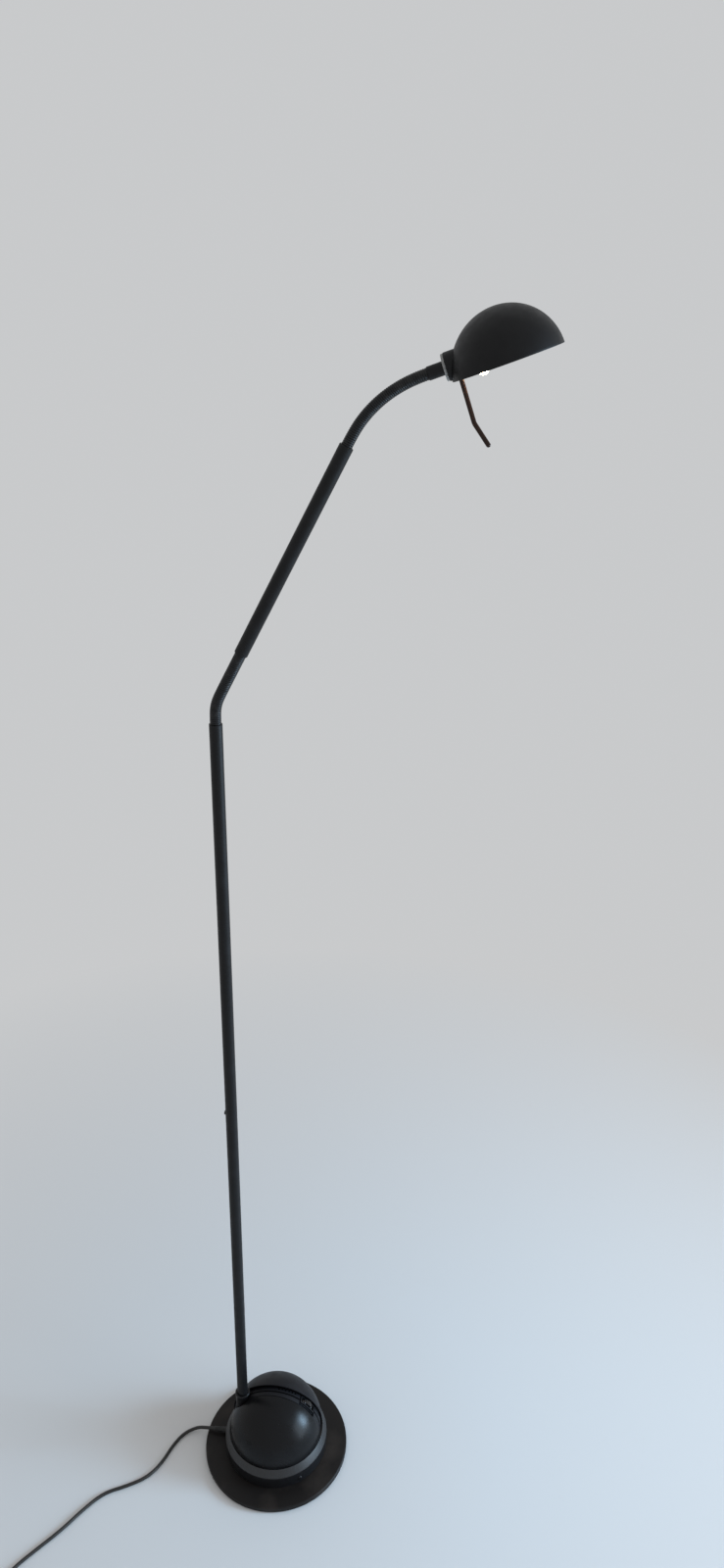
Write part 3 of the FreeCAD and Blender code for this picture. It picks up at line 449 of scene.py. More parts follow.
black = (0.0045, 0.0045, 0.0052)
finishes = {
    "felt": felt("felt", (0.030, 0.030, 0.032), (0.065, 0.062, 0.060)),
    "disc_paint": painted("disc_paint", (0.0085, 0.0068, 0.0062), (0.032, 0.025, 0.021),
                          0.46, 0.6 * MM, 0.05 * MM, 55 * MM, specular=0.22),
    "housing": ring_paint("housing", (0.0055, 0.0055, 0.0065), (0.018, 0.018, 0.020), 0.34,
                          0.65),
    "dome_satin": painted("dome_satin", black, (0.009, 0.009, 0.010), 0.27, 0.9 * MM,
                          0.008 * MM, 60 * MM, specular=0.21),
    "dome_matt": painted("dome_matt", (0.007, 0.007, 0.009), (0.016, 0.016, 0.019), 0.48,
                         0.45 * MM, 0.035 * MM, 45 * MM, specular=0.2),
    "wheel": painted("wheel", (0.006, 0.006, 0.007), (0.012, 0.012, 0.013), 0.14, 1.5 * MM,
                     0.01 * MM, 12 * MM, specular=0.8),
    "pot": bare_metal("pot", (0.55, 0.55, 0.55), 0.35),
    "board": painted("board", (0.02, 0.09, 0.04), (0.05, 0.14, 0.07), 0.45, 1 * MM,
                     0.02 * MM, 10 * MM),
    "zinc": bare_metal("zinc", (0.62, 0.62, 0.60), 0.38),
    "screw_steel": bare_metal("screw_steel", (0.58, 0.57, 0.55), 0.30),
    "black_screw": painted("black_screw", (0.02, 0.02, 0.022), (0.10, 0.10, 0.10), 0.30,
                           0.4 * MM, 0.02 * MM, 3 * MM, metal=0.6),
    "transformer_tape": painted("transformer_tape", (0.50, 0.36, 0.06), (0.36, 0.25, 0.05),
                                0.35, 2 * MM, 0.05 * MM, 15 * MM),
    "terminal": painted("terminal", (0.72, 0.70, 0.64), (0.60, 0.57, 0.50), 0.45, 1 * MM,
                        0.02 * MM, 12 * MM),
    "socket": painted("socket", black, (0.014, 0.014, 0.015), 0.38, 0.7 * MM, 0.02 * MM,
                      14 * MM, specular=0.3),
    "tube_paint": painted("tube_paint", black, (0.009, 0.009, 0.010), 0.44, 0.8 * MM,
                          0.012 * MM, 30 * MM, specular=0.25),
    "neck_steel": painted("neck_steel", (0.010, 0.010, 0.011), (0.030, 0.029, 0.028), 0.38,
                          0.5 * MM, 0.02 * MM, 9 * MM, metal=0.25, specular=0.35),
    "nylon": translucent_nylon("nylon"),
    "shade_paint": painted("shade_paint", black, (0.009, 0.009, 0.010), 0.46, 0.6 * MM,
                           0.018 * MM, 35 * MM, specular=0.25),
    "reflector": bare_metal("reflector", (0.80, 0.79, 0.76), 0.30),
    "porcelain": painted("porcelain", (0.75, 0.73, 0.68), (0.60, 0.56, 0.48), 0.35, 1 * MM,
                         0.02 * MM, 8 * MM),
    "bulb_glass": glowing_glass("bulb_glass"),
    "pin_metal": bare_metal("pin_metal", (0.66, 0.62, 0.52), 0.24),
    "rod_paint": painted("rod_paint", (0.022, 0.009, 0.005), (0.040, 0.018, 0.010), 0.20,
                         1.2 * MM, 0.006 * MM, 16 * MM, metal=0.35, specular=0.35),
    "relief": painted("relief", (0.010, 0.010, 0.010), (0.025, 0.024, 0.023), 0.55,
                      0.5 * MM, 0.03 * MM, 10 * MM),
    "cord_jacket": painted("cord_jacket", (0.013, 0.011, 0.010), (0.030, 0.026, 0.022), 0.42,
                           0.8 * MM, 0.02 * MM, 25 * MM),
    "plug_plastic": painted("plug_plastic", (0.010, 0.010, 0.010), (0.024, 0.023, 0.022), 0.46,
                            0.5 * MM, 0.03 * MM, 14 * MM),
}


# Mains cord: over the floor by the part's own route, then wound in two layers

def cord_route():
    # in millimetres
    return [
        (-75.2, 0.0, 16.0),
        (-112.0, 0.0, 16.0),
        (-131.0, 5.0, 6.4),
        (-150.0, -5.5, 2.6),
        (-162.0, -29.0, 2.6),
        (-169.5, -56.0, 2.6),
        (-184.5, -82.5, 2.6),
        (-212.0, -101.0, 2.6),
        (-243.0, -116.0, 2.6),
        (-265.0, -144.0, 2.6),
        (-286.0, -178.0, 2.6),
        (-310.5, -208.5, 2.6),
        (-333.0, -237.5, 2.6),
        (-348.0, -268.0, 2.6),
    ]


def coil_points(last, heading):
    # half turns that step inwards, one that climbs a layer, and half turns out again
    outer = 34.5 * MM
    step = 2.75 * MM
    lead = 5.0 * MM
    exit_run = 26.0 * MM
    legs = 6
    inward_turns = 6
    inward = [outer - step * i for i in range(inward_turns)]
    climb = inward[-1] - step
    outward = [climb + step * (i + 1) for i in range(inward_turns - 1)]
    start = last + heading * lead
    points = []
    for i, radius in enumerate(inward + [climb] + outward):
        left = Vector((-heading.y, heading.x, 0))
        centre = start + left * radius
        reach = radius / math.cos(math.pi / legs / 2)
        rise = 2 * step if i == len(inward) else 0.0
        for leg in range(legs):
            turn = math.pi * (leg + 0.5) / legs
            point = centre + heading * (reach * math.sin(turn)) - left * (reach * math.cos(turn))
            points.append(point + Z_AXIS * rise * (1 - math.cos(turn)) / 2)
        start = start + left * (2 * radius) + Z_AXIS * rise
        heading = -heading
    return points + [start + heading * exit_run], heading


def make_cord():
    route = [Vector(point) * MM for point in cord_route()]
    turns, heading = coil_points(route[-1], (route[-1] - route[-2]).normalized())
    points = route + turns
    curve = bpy.data.curves.new("mains_lead", "CURVE")
    curve.dimensions = "3D"
    curve.bevel_depth = cord_radius
    curve.bevel_resolution = 6
    curve.use_fill_caps = True
    curve.resolution_u = 8
    spline = curve.splines.new("NURBS")
    spline.points.add(len(points) - 1)
    for corner, point in zip(spline.points, points):
        corner.co = (*point, 1)
    spline.order_u = 3
    spline.use_endpoint_u = True
    lead = bpy.data.objects.new("mains_lead", curve)
    bpy.context.scene.collection.objects.link(lead)
    dress(lead, "stand", "cord_jacket", "mains_cord", "cord_coil")
    return lead, points[0], points[-1], heading


def make_plug(end, heading):
    # two round pins in a flat body that lies on the floor
    turn = Matrix.Translation(end) @ Matrix.Rotation(math.atan2(heading.y, heading.x), 4, "Z")
    along = Matrix.Rotation(math.pi / 2, 4, "Y")
    neck_length = 14.0 * MM
    body_length = 36.0 * MM
    body_width = 35.0 * MM
    body_height = 2 * end.z
    grip_count = 5
    neck_ribs = 5
    body = box("plug_shell", (body_length, body_width, body_height),
               (neck_length + body_length / 2, 0, 0))
    pick(body)
    bpy.ops.object.mode_set(mode="EDIT")
    bpy.ops.mesh.select_all(action="SELECT")
    bpy.ops.mesh.bevel(offset=3.2 * MM, segments=5)
    bpy.ops.object.mode_set(mode="OBJECT")
    for side in (-1, 1):
        for i in range(grip_count):
            place = (neck_length + (9 + 3.2 * i) * MM, side * (body_width / 2 + 0.6 * MM), 0)
            cut(body, box("grip", (1.2 * MM, 2.6 * MM, 9 * MM), place, 0.3 * MM))
    neck_outline = [(0, -1 * MM), (3.2 * MM, 0)]
    for i in range(neck_ribs):
        height = (1.6 + 2.3 * i) * MM
        radius = (3.3 + 0.18 * i) * MM
        groove = radius - 0.6 * MM
        neck_outline += [(radius, height), (groove, height + 0.3 * MM),
                         (groove, height + 0.9 * MM), (radius + 0.1 * MM, height + 1.2 * MM)]
    neck_end = neck_length + 3 * MM
    neck_outline += [(4.2 * MM, neck_end), (0, neck_end)]
    neck = moved(lathe("plug_neck", neck_outline, small_steps), along)
    shell = smooth(joined(body, neck))
    dress(moved(shell, turn), "stand", "plug_plastic", "plug_body")
    pin_radius = 2.0 * MM
    pin_spacing = 19.0 * MM
    pin_corner = 1.2 * MM
    pin_start = neck_length + body_length - 4 * MM
    pin_end = pin_start + 23 * MM
    tip = arc((pin_radius - pin_corner, pin_end - pin_corner), pin_corner, 0, 90, 5)
    pin_outline = [(0, pin_start), (pin_radius, pin_start)] + tip + [(0, pin_end)]
    pins = []
    for side in (-1, 1):
        pin = moved(lathe("plug_pin", pin_outline, small_steps), along)
        pins.append(moved(pin, Matrix.Translation((0, side * pin_spacing / 2, 0))))
    pair = smooth(joined(*pins))
    pair.name = "plug_pin_pair"
    dress(moved(pair, turn), "stand", "pin_metal", "plug_pins")
    return shell, pair


def make_strain_relief():
    # a flange against the drum, then a tapered sleeve with bending grooves
    low = drum_radius - 5.0 * MM
    bore = 2.55 * MM
    root = 4.55 * MM
    outline = [(bore, low), (root, low), (root, drum_radius), (6.0 * MM, drum_radius)]
    outline += arc((5.8 * MM, drum_radius + 1.2 * MM), 0.4 * MM, 0, 90, 4)
    outline.append((4.6 * MM, drum_radius + 1.6 * MM))
    grooves = 5
    for i in range(grooves):
        height = drum_radius + (4.2 + 3.1 * i) * MM
        radius = (4.5 - 0.2 * i) * MM
        outline += [(radius, height), (radius - 0.75 * MM, height + 0.3 * MM),
                    (radius - 0.8 * MM, height + 1.1 * MM), (radius - 0.1 * MM, height + 1.4 * MM)]
    outline += arc((2.9 * MM, drum_radius + 21.5 * MM), 0.4 * MM, 0, 90, 3)
    outline.append((bore, drum_radius + 22 * MM))
    sleeve = lathe("cord_sleeve", closed(outline), small_steps)
    moved(sleeve, Matrix.Translation((0, 0, cord_height)) @ Matrix.Rotation(-math.pi / 2, 4, "Y"))
    dress(smooth(sleeve), "stand", "relief", "strain_relief")


# Base

def make_disc():
    rim = 111.0 * MM
    low = 1.5 * MM
    chamfer = 0.6 * MM
    corner = 2 * MM
    outline = [(0, low), (rim - chamfer, low), (rim, low + chamfer)]
    outline += arc((rim - corner, plate_top - corner), corner, 0, 90, 8)
    outline += [(90 * MM, plate_top), (0, plate_top)]
    disc = lathe("base_disc", outline, 192)
    dress(smooth(disc), "stand", "disc_paint", "base_plate")


def make_drum():
    # a drum with a bevelled ring, and the ledge that the domes stand on
    slope = math.degrees(math.atan2(drum_radius - seat_radius, ring_top - drum_top))
    foot_ease = 0.4 * MM
    corner = 0.8 * MM
    rim = 0.3 * MM
    lip = 0.12 * MM
    outline = [(drum_radius - foot_ease, plate_top), (drum_radius, plate_top + foot_ease)]
    outline += arc((drum_radius - corner, drum_top - 0.3 * MM), corner, 0, slope, 4)
    outline += arc((seat_radius + 0.35 * MM, ring_top - rim), rim, slope, 90, 5)
    outline += [(seat_radius + lip, ring_top), (seat_radius, ring_top - lip),
                (seat_radius, ledge_height), (ledge_inner, ledge_height),
                (ledge_inner, ledge_height - wall),
                (seat_radius - wall, ledge_height - wall),
                (drum_radius - wall, drum_top - wall), (drum_radius - wall, plate_top)]
    drum = lathe("drum_and_ring", closed(outline), 192)
    dress(smooth(drum, 30), "stand", "housing", "lower_housing")


def half_shell(name, outer, inner, centre_height, foot):
    # a half ball with a wall, on a short skirt
    steps = 30
    outline = [(outer, foot)] + arc((0, centre_height), outer, 0, 90, steps)
    outline += arc((0, centre_height), inner, 90, 0, steps) + [(inner, foot)]
    return lathe(name, closed(outline), 160)


def parting_plane(y, slope):
    # a point on the plane and its normal, towards the back
    return (0, y, ring_top), Vector((0, 1, -slope)).normalized()


def pole_cutter():
    height = 200 * MM
    outline = [(0, 0), (pole_room, 0), (pole_room, height), (0, height)]
    cutter = lathe("cutter", outline, small_steps)
    return moved(cutter, Matrix.Translation((pole_x, 0, 0)))


def make_front_dome():
    dome = half_shell("front_ball", dome_radius, dome_radius - dome_wall, ring_top, ledge_height)
    point, normal = parting_plane(front_parting, front_parting_slope)
    sliced(dome, point, normal)
    cut(dome, pole_cutter())
    eased(dome, edge_ease, 3, 50)
    dress(smooth(dome), "stand", "dome_satin", "front_dome")


def make_rear_dome():
    dome = half_shell("rear_ball", dome_radius, dome_radius - dome_wall,
                      ring_top + rear_dome_rise, ledge_height)
    point, normal = parting_plane(rear_parting, rear_parting_slope)
    sliced(dome, point, -normal)
    cut(dome, pole_cutter())
    eased(dome, edge_ease, 3, 50)
    dress(smooth(dome), "stand", "dome_matt", "rear_dome")


def arch_slice(name, outer, inner, front, rear, front_slope, rear_slope):
    shell = half_shell(name, outer, inner, arch_height, ledge_height)
    point, normal = parting_plane(front, front_slope)
    sliced(shell, point, -normal)
    point, normal = parting_plane(rear, rear_slope)
    return sliced(shell, point, normal)


def across_arch(piece, angle):
    # turns a tool that stands above the arch's centre to its place along the arch
    return moved(piece, leaned(angle, Vector((0, 0, arch_height))))


def make_arch():
    # the band laps under both domes, and two ribs stand on it with a groove between them
    lap = 3.5 * MM
    front = front_parting + 1.3 * MM
    rear = rear_parting + 1.6 * MM
    half_groove = rib_groove / 2
    sunk = 0.6 * MM
    rib_ease = 0.6 * MM
    band = arch_slice("ribbed_arch", arch_radius, arch_radius - wall, front_parting - lap,
                      rear_parting + lap, front_parting_slope, rear_parting_slope)
    ribs = [
        arch_slice("rib", rib_radius, arch_radius - sunk, front, rib_groove_y - half_groove,
                   front_parting_slope, 0.0),
        arch_slice("rib", rib_radius, arch_radius - sunk, rib_groove_y + half_groove, rear,
                   0.0, rear_parting_slope),
    ]
    for rib in ribs:
        eased(rib, rib_ease, 3, 60)
    cut(band, *ribs, operation="UNION")
    cut(band, pocket_cutter())
    cut(band, frame_bar(frame_rim, frame_radius), frame_bar(step_rim, step_radius),
        operation="UNION")
    cut(band, *arch_cutters())
    dress(smooth(band, 40), "stand", "dome_matt", "vent_band")


def small_ball(radius):
    return lathe("ball", arc((0, 0), radius, -90, 90, 64), 160)


def pocket_cutter():
    # clears the ribs round the thumbwheel, down to just under the arch's own surface
    height = 30 * MM
    floor = arch_radius - 0.5 * MM
    pocket = box("pocket", (pocket_length, pocket_width, height), (0, pocket_y, 75 * MM))
    return across_arch(cut(pocket, small_ball(floor)), dimmer_angle)


def frame_bar(rim, radius):
    # one step of the raised frame round the thumbwheel's slot
    low = 64.8 * MM
    height = 12 * MM
    bar = box("frame", (slot_length + 2 * rim, slot_width + 2 * rim, height),
              (0, dimmer_place.y, low + height / 2))
    cut(bar, small_ball(radius), operation="INTERSECT")
    return across_arch(eased(bar, edge_ease, 3, 50), dimmer_angle)


def arch_cutters():
    # the thumbwheel's slot, room for the dimmer beside it, the pole's hole and two rows of vents
    slot = box("slot", (slot_length, slot_width, 30 * MM), (0, dimmer_place.y, 64 * MM),
               0.8 * MM, 2)
    radius = 3.7 * MM
    start = 4.1 * MM
    end = 8.9 * MM
    room = lathe("dimmer_room", [(0, start), (radius, start), (radius, end), (0, end)],
                 small_steps)
    turn = Matrix.Translation(dimmer_place) @ Matrix.Rotation(-math.pi / 2, 4, "X")
    cutters = [across_arch(slot, dimmer_angle), moved(room, turn), pole_cutter()]
    for y, length in vent_rows:
        for i in range(vent_count):
            vent = box("vent", (vent_width, length, 20 * MM), (0, y, 68 * MM), 0.5 * MM, 2)
            cutters.append(across_arch(vent, vent_start_angle + vent_step_angle * i))
    return cutters


def make_thumbwheel():
    # a fluted disc on its shaft, turning about Y
    flutes = 24
    per_flute = 8
    flute_sharpness = 0.8
    deselect()
    bpy.ops.mesh.primitive_cylinder_add(vertices=flutes * per_flute, radius=wheel_radius,
                                        depth=wheel_width, end_fill_type="NGON")
    wheel = bpy.context.object
    wheel.name = "fluted_wheel"
    wheel.data.name = "fluted_wheel"
    deepest = 0.7 * MM
    for vertex in wheel.data.vertices:
        angle = math.atan2(vertex.co.y, vertex.co.x)
        dip = max(0.0, math.cos(angle * flutes)) ** flute_sharpness
        share = 1 - deepest * dip / wheel_radius
        vertex.co.x *= share
        vertex.co.y *= share
    bpy.ops.object.mode_set(mode="EDIT")
    bpy.ops.mesh.select_all(action="DESELECT")
    bpy.ops.mesh.select_face_by_sides(number=4, type="GREATER")
    bpy.ops.mesh.inset(thickness=1.6 * MM)
    bpy.ops.mesh.inset(thickness=0.5 * MM, depth=-0.5 * MM)
    bpy.ops.object.mode_set(mode="OBJECT")
    eased(wheel, 0.35 * MM, 2, 60)
    low = -3 * MM
    shaft = lathe("shaft", [(0, low), (shaft_radius, low), (shaft_radius, shaft_length),
                            (0, shaft_length)], small_steps)
    wheel = joined(wheel, shaft)
    turn = Matrix.Translation(dimmer_place) @ Matrix.Rotation(-math.pi / 2, 4, "X")
    dress(smooth(moved(wheel, turn), 30), "dimmer", "wheel", "dimmer_wheel")


def cross_head(name, radius, height):
    # a pan head on the origin, with a cross recess
    side = 0.35                # share of the height that stands straight
    outline = [(0, 0), (radius, 0), (radius, height * side)]
    outline += [(radius * math.cos(t), height * (side + (1 - side) * math.sin(t)))
                for t in (math.radians(15 * i) for i in range(1, 6))]
    head = lathe(name, outline + [(0, height)], small_steps)
    reach = radius * 1.15
    blade = 0.7 * MM
    for size in ((reach, blade), (blade, reach)):
        cut(head, box("recess", (*size, height), (0, 0, height)))
    return smooth(head, 30)


def make_screws():
    # the screw in the drum's side, and the one that holds the two pole tubes together
    clear = 0.05 * MM
    side_angle = math.radians(side_screw_angle)
    outwards = Vector((math.cos(side_angle), math.sin(side_angle), 0))
    place = outwards * (drum_radius + clear) + Z_AXIS * side_screw_height
    turn = outwards.to_track_quat("Z", "Y").to_matrix().to_4x4()
    side = moved(cross_head("side_screw_head", 2.8 * MM, 1.8 * MM),
                 Matrix.Translation(place) @ turn)
    dress(side, "stand", "black_screw", "side_screw")
    place = Vector((pole_x - tube_radius - clear, 0, pole_seam - pole_screw_drop))
    turn = (-X_AXIS).to_track_quat("Z", "Y").to_matrix().to_4x4()
    stub = moved(cross_head("pole_screw_head", 3.0 * MM, 1.8 * MM),
                 Matrix.Translation(place) @ turn)
    dress(stub, "stand", "black_screw", "pole_joint_screw")


# Pole, arm and goosenecks

def tube_outline(low, high, ease=0.2 * MM):
    return closed([
        (tube_bore, low), (tube_radius - ease, low), (tube_radius, low + ease),
        (tube_radius, high - ease), (tube_radius - ease, high), (tube_bore, high),
    ])


def make_pole():
    at_pole = Matrix.Translation((pole_x, 0, 0))
    lower = lathe("pole_lower_tube", tube_outline(plate_top, pole_seam), 96)
    dress(smooth(moved(lower, at_pole)), "stand", "tube_paint", "lower_pole")
    upper = lathe("pole_upper_tube", tube_outline(pole_seam, pole_top), 96)
    dress(smooth(moved(upper, at_pole)), "stand", "tube_paint", "upper_pole")
    bore = 8.1 * MM
    outer = 10.4 * MM
    rim = 11.3 * MM
    top = socket_top
    flange = 21.0 * MM
    flange_top = plate_top + 3 * MM
    outline = [(bore, plate_top), (flange, plate_top), (flange, flange_top),
               (outer, flange_top), (outer, top - 4.3 * MM)]
    outline += arc((rim - 0.7 * MM, top - 2.8 * MM), 0.7 * MM, -60, 0, 3)
    outline += arc((rim - 1.2 * MM, top - 1.2 * MM), 1.2 * MM, 0, 80, 6)
    outline += arc((bore + 0.6 * MM, top - 0.6 * MM), 0.6 * MM, 100, 180, 4)
    socket = lathe("pole_ferrule", closed(outline), 96)
    dress(smooth(moved(socket, at_pole)), "stand", "socket", "pole_socket")


def arm_foot():
    return joint_places["lower_neck_sway_2"] + direction(arm_lean) * lower_tail


def make_arm():
    arm = lathe("straight_arm", tube_outline(0, arm_length, 0.8 * MM), 96)
    dress(smooth(moved(arm, leaned(arm_lean, arm_foot()))), "arm", "tube_paint", "arm_tube")


def ribbed_outline(start, end, crest):
    # fine rounded ribs, a whole number of them between two places along the neck
    depth = 0.5 * MM
    pitch = 2.3 * MM
    bore = crest - 2.2 * MM
    count = max(1, round((end - start) / pitch))
    step = (end - start) / count
    # each rib's places along its pitch, with the share of the depth that they lie below the crest
    shape = [(0.0, 1.0), (0.14, 0.35), (0.30, 0.0), (0.70, 0.0), (0.86, 0.35)]
    outline = [(bore, start)]
    for i in range(count):
        for share, drop in shape:
            outline.append((crest - depth * drop, start + step * (i + share)))
    outline += [(crest - depth, end), (bore, end)]
    return closed(outline)


def neck_line(name, points):
    # a smooth line that the neck's links touch at their middles
    curve = bpy.data.curves.new(name, "CURVE")
    curve.dimensions = "3D"
    curve.resolution_u = 64
    spline = curve.splines.new("NURBS")
    spline.points.add(len(points) - 1)
    for corner, point in zip(spline.points, points):
        corner.co = (*point, 1)
    spline.order_u = 3
    spline.use_endpoint_u = True
    line = bpy.data.objects.new(name, curve)
    bpy.context.scene.collection.objects.link(line)
    return line


def make_neck(name, corners, bodies, radius, slot, replaced):
    # One piece for the stretch before the first joint, one bent over each joint, and one after the
    # last. corners are the neck's start, its joints and its end.
    line = neck_line(name + "_line", corners)
    lengths = [(b - a).length for a, b in zip(corners, corners[1:])]
    places = [0.0]
    for i, length in enumerate(lengths):
        places.append(sum(lengths[:i]) + length / 2)
    places.append(sum(lengths))
    for i, (start, end) in enumerate(zip(places, places[1:])):
        piece = lathe(name + "_" + str(i + 1), ribbed_outline(start, end, radius), 64)
        applied(piece, "CURVE", object=line, deform_axis="POS_Z")
        smooth(piece, 50)
        piece.data.materials.append(finishes[slot])
        if i == 0:
            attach(piece, bodies[0])
        elif i == len(places) - 2:
            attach(piece, bodies[-1])
        else:
            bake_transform(piece)
        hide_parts(*replaced[i])
    bpy.data.objects.remove(line)


def make_necks():
    lower_joints = ["lower_neck_bend_1", "lower_neck_sway_1", "lower_neck_bend_2",
                    "lower_neck_sway_2"]
    corners = [Vector((pole_x, 0, pole_top))] + [joint_places[name] for name in lower_joints]
    corners.append(arm_foot())
    bodies = ["stand", "lower_link_2", "lower_link_3", "lower_link_4", "arm"]
    links = ["lower_neck_link_" + str(i + 1) for i in range(len(bodies))]
    replaced = [[link] for link in links] + [[]]
    make_neck("lower_gooseneck", corners, bodies, lower_neck_radius, "neck_steel", replaced)
    upper_joints = ["upper_neck_bend_1", "upper_neck_sway_1", "upper_neck_bend_2",
                    "upper_neck_sway_2", "upper_neck_bend_3"]
    corners = [arm_foot() + direction(arm_lean) * arm_length]
    corners += [joint_places[name] for name in upper_joints]
    corners.append(corners[-1] + direction(head_lean) * upper_tail)
    bodies = ["arm", "upper_link_2", "upper_link_3", "upper_link_4", "upper_link_5", "head"]
    links = ["upper_neck_link_" + str(i + 1) for i in range(len(bodies))]
    replaced = [[link] for link in links] + [[]]
    make_neck("upper_gooseneck", corners, bodies, upper_neck_radius, "neck_steel", replaced)


# Head

def sleeve_foot():
    return joint_places["upper_neck_bend_3"] + direction(head_lean) * upper_tail


def on_head():
    crown = direction(head_lean - 90)
    reach = sleeve_length + washer_thickness - collar_back
    centre = sleeve_foot() + direction(head_lean) * reach - crown * collar_height
    return leaned(head_lean - 90, centre)


def on_collar():
    # lays what stands on the origin along the collar's axis, in the head's own frame
    return Matrix.Translation((0, 0, collar_height)) @ Matrix.Rotation(math.pi / 2, 4, "Y")


def along_collar(piece):
    return moved(piece, on_head() @ on_collar())


def make_sleeve():
    radius = 7.0 * MM
    bore = 5.1 * MM
    outline = [(bore, 0), (radius - 0.5 * MM, 0), (radius, 0.5 * MM),
               (radius, sleeve_length - 0.3 * MM), (radius - 0.3 * MM, sleeve_length),
               (bore, sleeve_length)]
    sleeve = lathe("neck_end_sleeve", closed(outline), 72)
    dress(smooth(moved(sleeve, leaned(head_lean, sleeve_foot()))), "head", "tube_paint",
          "neck_sleeve")


def make_washer():
    radius = 13.6 * MM
    bore = nipple_hole
    back = collar_back - washer_thickness
    outline = [(bore, back)] + arc((radius - 0.7 * MM, back + 0.7 * MM), 0.7 * MM, -90, 0, 5)
    outline += arc((radius - 0.4 * MM, collar_back - 0.4 * MM), 0.4 * MM, 0, 90, 3)
    outline.append((bore, collar_back))
    washer = lathe("grey_washer", closed(outline), 72)
    dress(smooth(along_collar(washer)), "head", "nylon", "head_washer")


def make_collar():
    inner = collar_radius - 2.0 * MM
    bore = nipple_hole
    floor = collar_back + 2.5 * MM
    end = collar_back + collar_length
    corner = 0.8 * MM
    seat_fit = 0.05 * MM
    outline = [(bore, collar_back)]
    outline += arc((collar_radius - corner, collar_back + corner), corner, -90, 0, 5)
    outline += [(collar_radius, end), (inner, end), (inner, floor), (bore, floor)]
    collar = along_collar(lathe("shade_side_collar", closed(outline), 96))
    ball = lathe("ball", arc((0, -shade_cut), shade_radius + seat_fit, -90, 90, 48), 128)
    cut(collar, moved(ball, on_head()))
    dress(smooth(collar), "head", "shade_paint", "shade_collar")


def make_shade():
    # a thin cap of a ball with a rounded rim, and the hole for the nipple
    outer = shade_radius
    inner = shade_radius - shade_wall
    middle = (0, -shade_cut)
    low = math.degrees(math.asin(shade_cut / outer)) + 0.5
    outline = arc(middle, outer, low, 90, 48) + arc(middle, inner, 90, low, 48)
    ease = 0.08 * MM
    outline += [(inner + 0.2 * MM, ease), (outer - 0.55 * MM, 0), (outer - 0.25 * MM, ease)]
    shade = lathe("half_ball_shade", closed(outline), 192)
    reach = -80.0 * MM
    hole = lathe("hole", [(0, reach), (nipple_hole, reach), (nipple_hole, 0), (0, 0)], small_steps)
    cut(shade, moved(hole, on_collar()))
    dress(smooth(moved(shade, on_head())), "head", "shade_paint", "shade")


def make_reflector():
    # a spun bowl with a rolled flange and a notch for the lamp bracket
    thickness = 0.6 * MM
    outer = shade_radius - 3.0 * MM
    inner = outer - thickness
    lift = 3.0 * MM
    flange = shade_radius - 1.4 * MM
    middle = (0, -shade_cut)
    start = math.degrees(math.asin((lift + shade_cut) / outer))
    outline = [(flange, lift)] + arc(middle, outer, start, 90, 40)
    outline += arc(middle, inner, 90, start - 0.6, 40) + [(flange, lift - thickness)]
    bowl = lathe("spun_reflector", closed(outline), 160)
    notch_end = -30.9 * MM
    notch_size = (60 * MM, 26 * MM, 120 * MM)
    notch_place = (notch_end - notch_size[0] / 2, 0, 55 * MM)
    cut(bowl, box("notch", notch_size, notch_place, 2 * MM, 3))
    dress(smooth(moved(bowl, on_head())), "head", "reflector", "reflector")


def make_bulb():
    # a halogen capsule: a round tip below, a shoulder and a flat pinch above
    radius = 6.0 * MM
    tip = -3.4 * MM
    shoulder = 23.0 * MM
    outline = [(0, tip)] + arc((0, tip + radius), radius, -80, 0, 8)
    outline += arc((radius - 2.5 * MM, shoulder - 2.5 * MM), 2.5 * MM, 0, 90, 6)
    outline.append((0, shoulder))
    capsule = lathe("capsule", outline, 64)
    pinch = box("pinch", (9 * MM, 3.4 * MM, 6 * MM), (0, 0, shoulder + 1.5 * MM), 0.8 * MM, 3)
    glass = smooth(cut(capsule, pinch, operation="UNION"))
    glass.name = "halogen_capsule"
    moved(glass, on_head() @ Matrix.Translation((bulb_x, 0, 0)))
    dress(glass, "head", "bulb_glass", "bulb_glass", "bulb_filament")


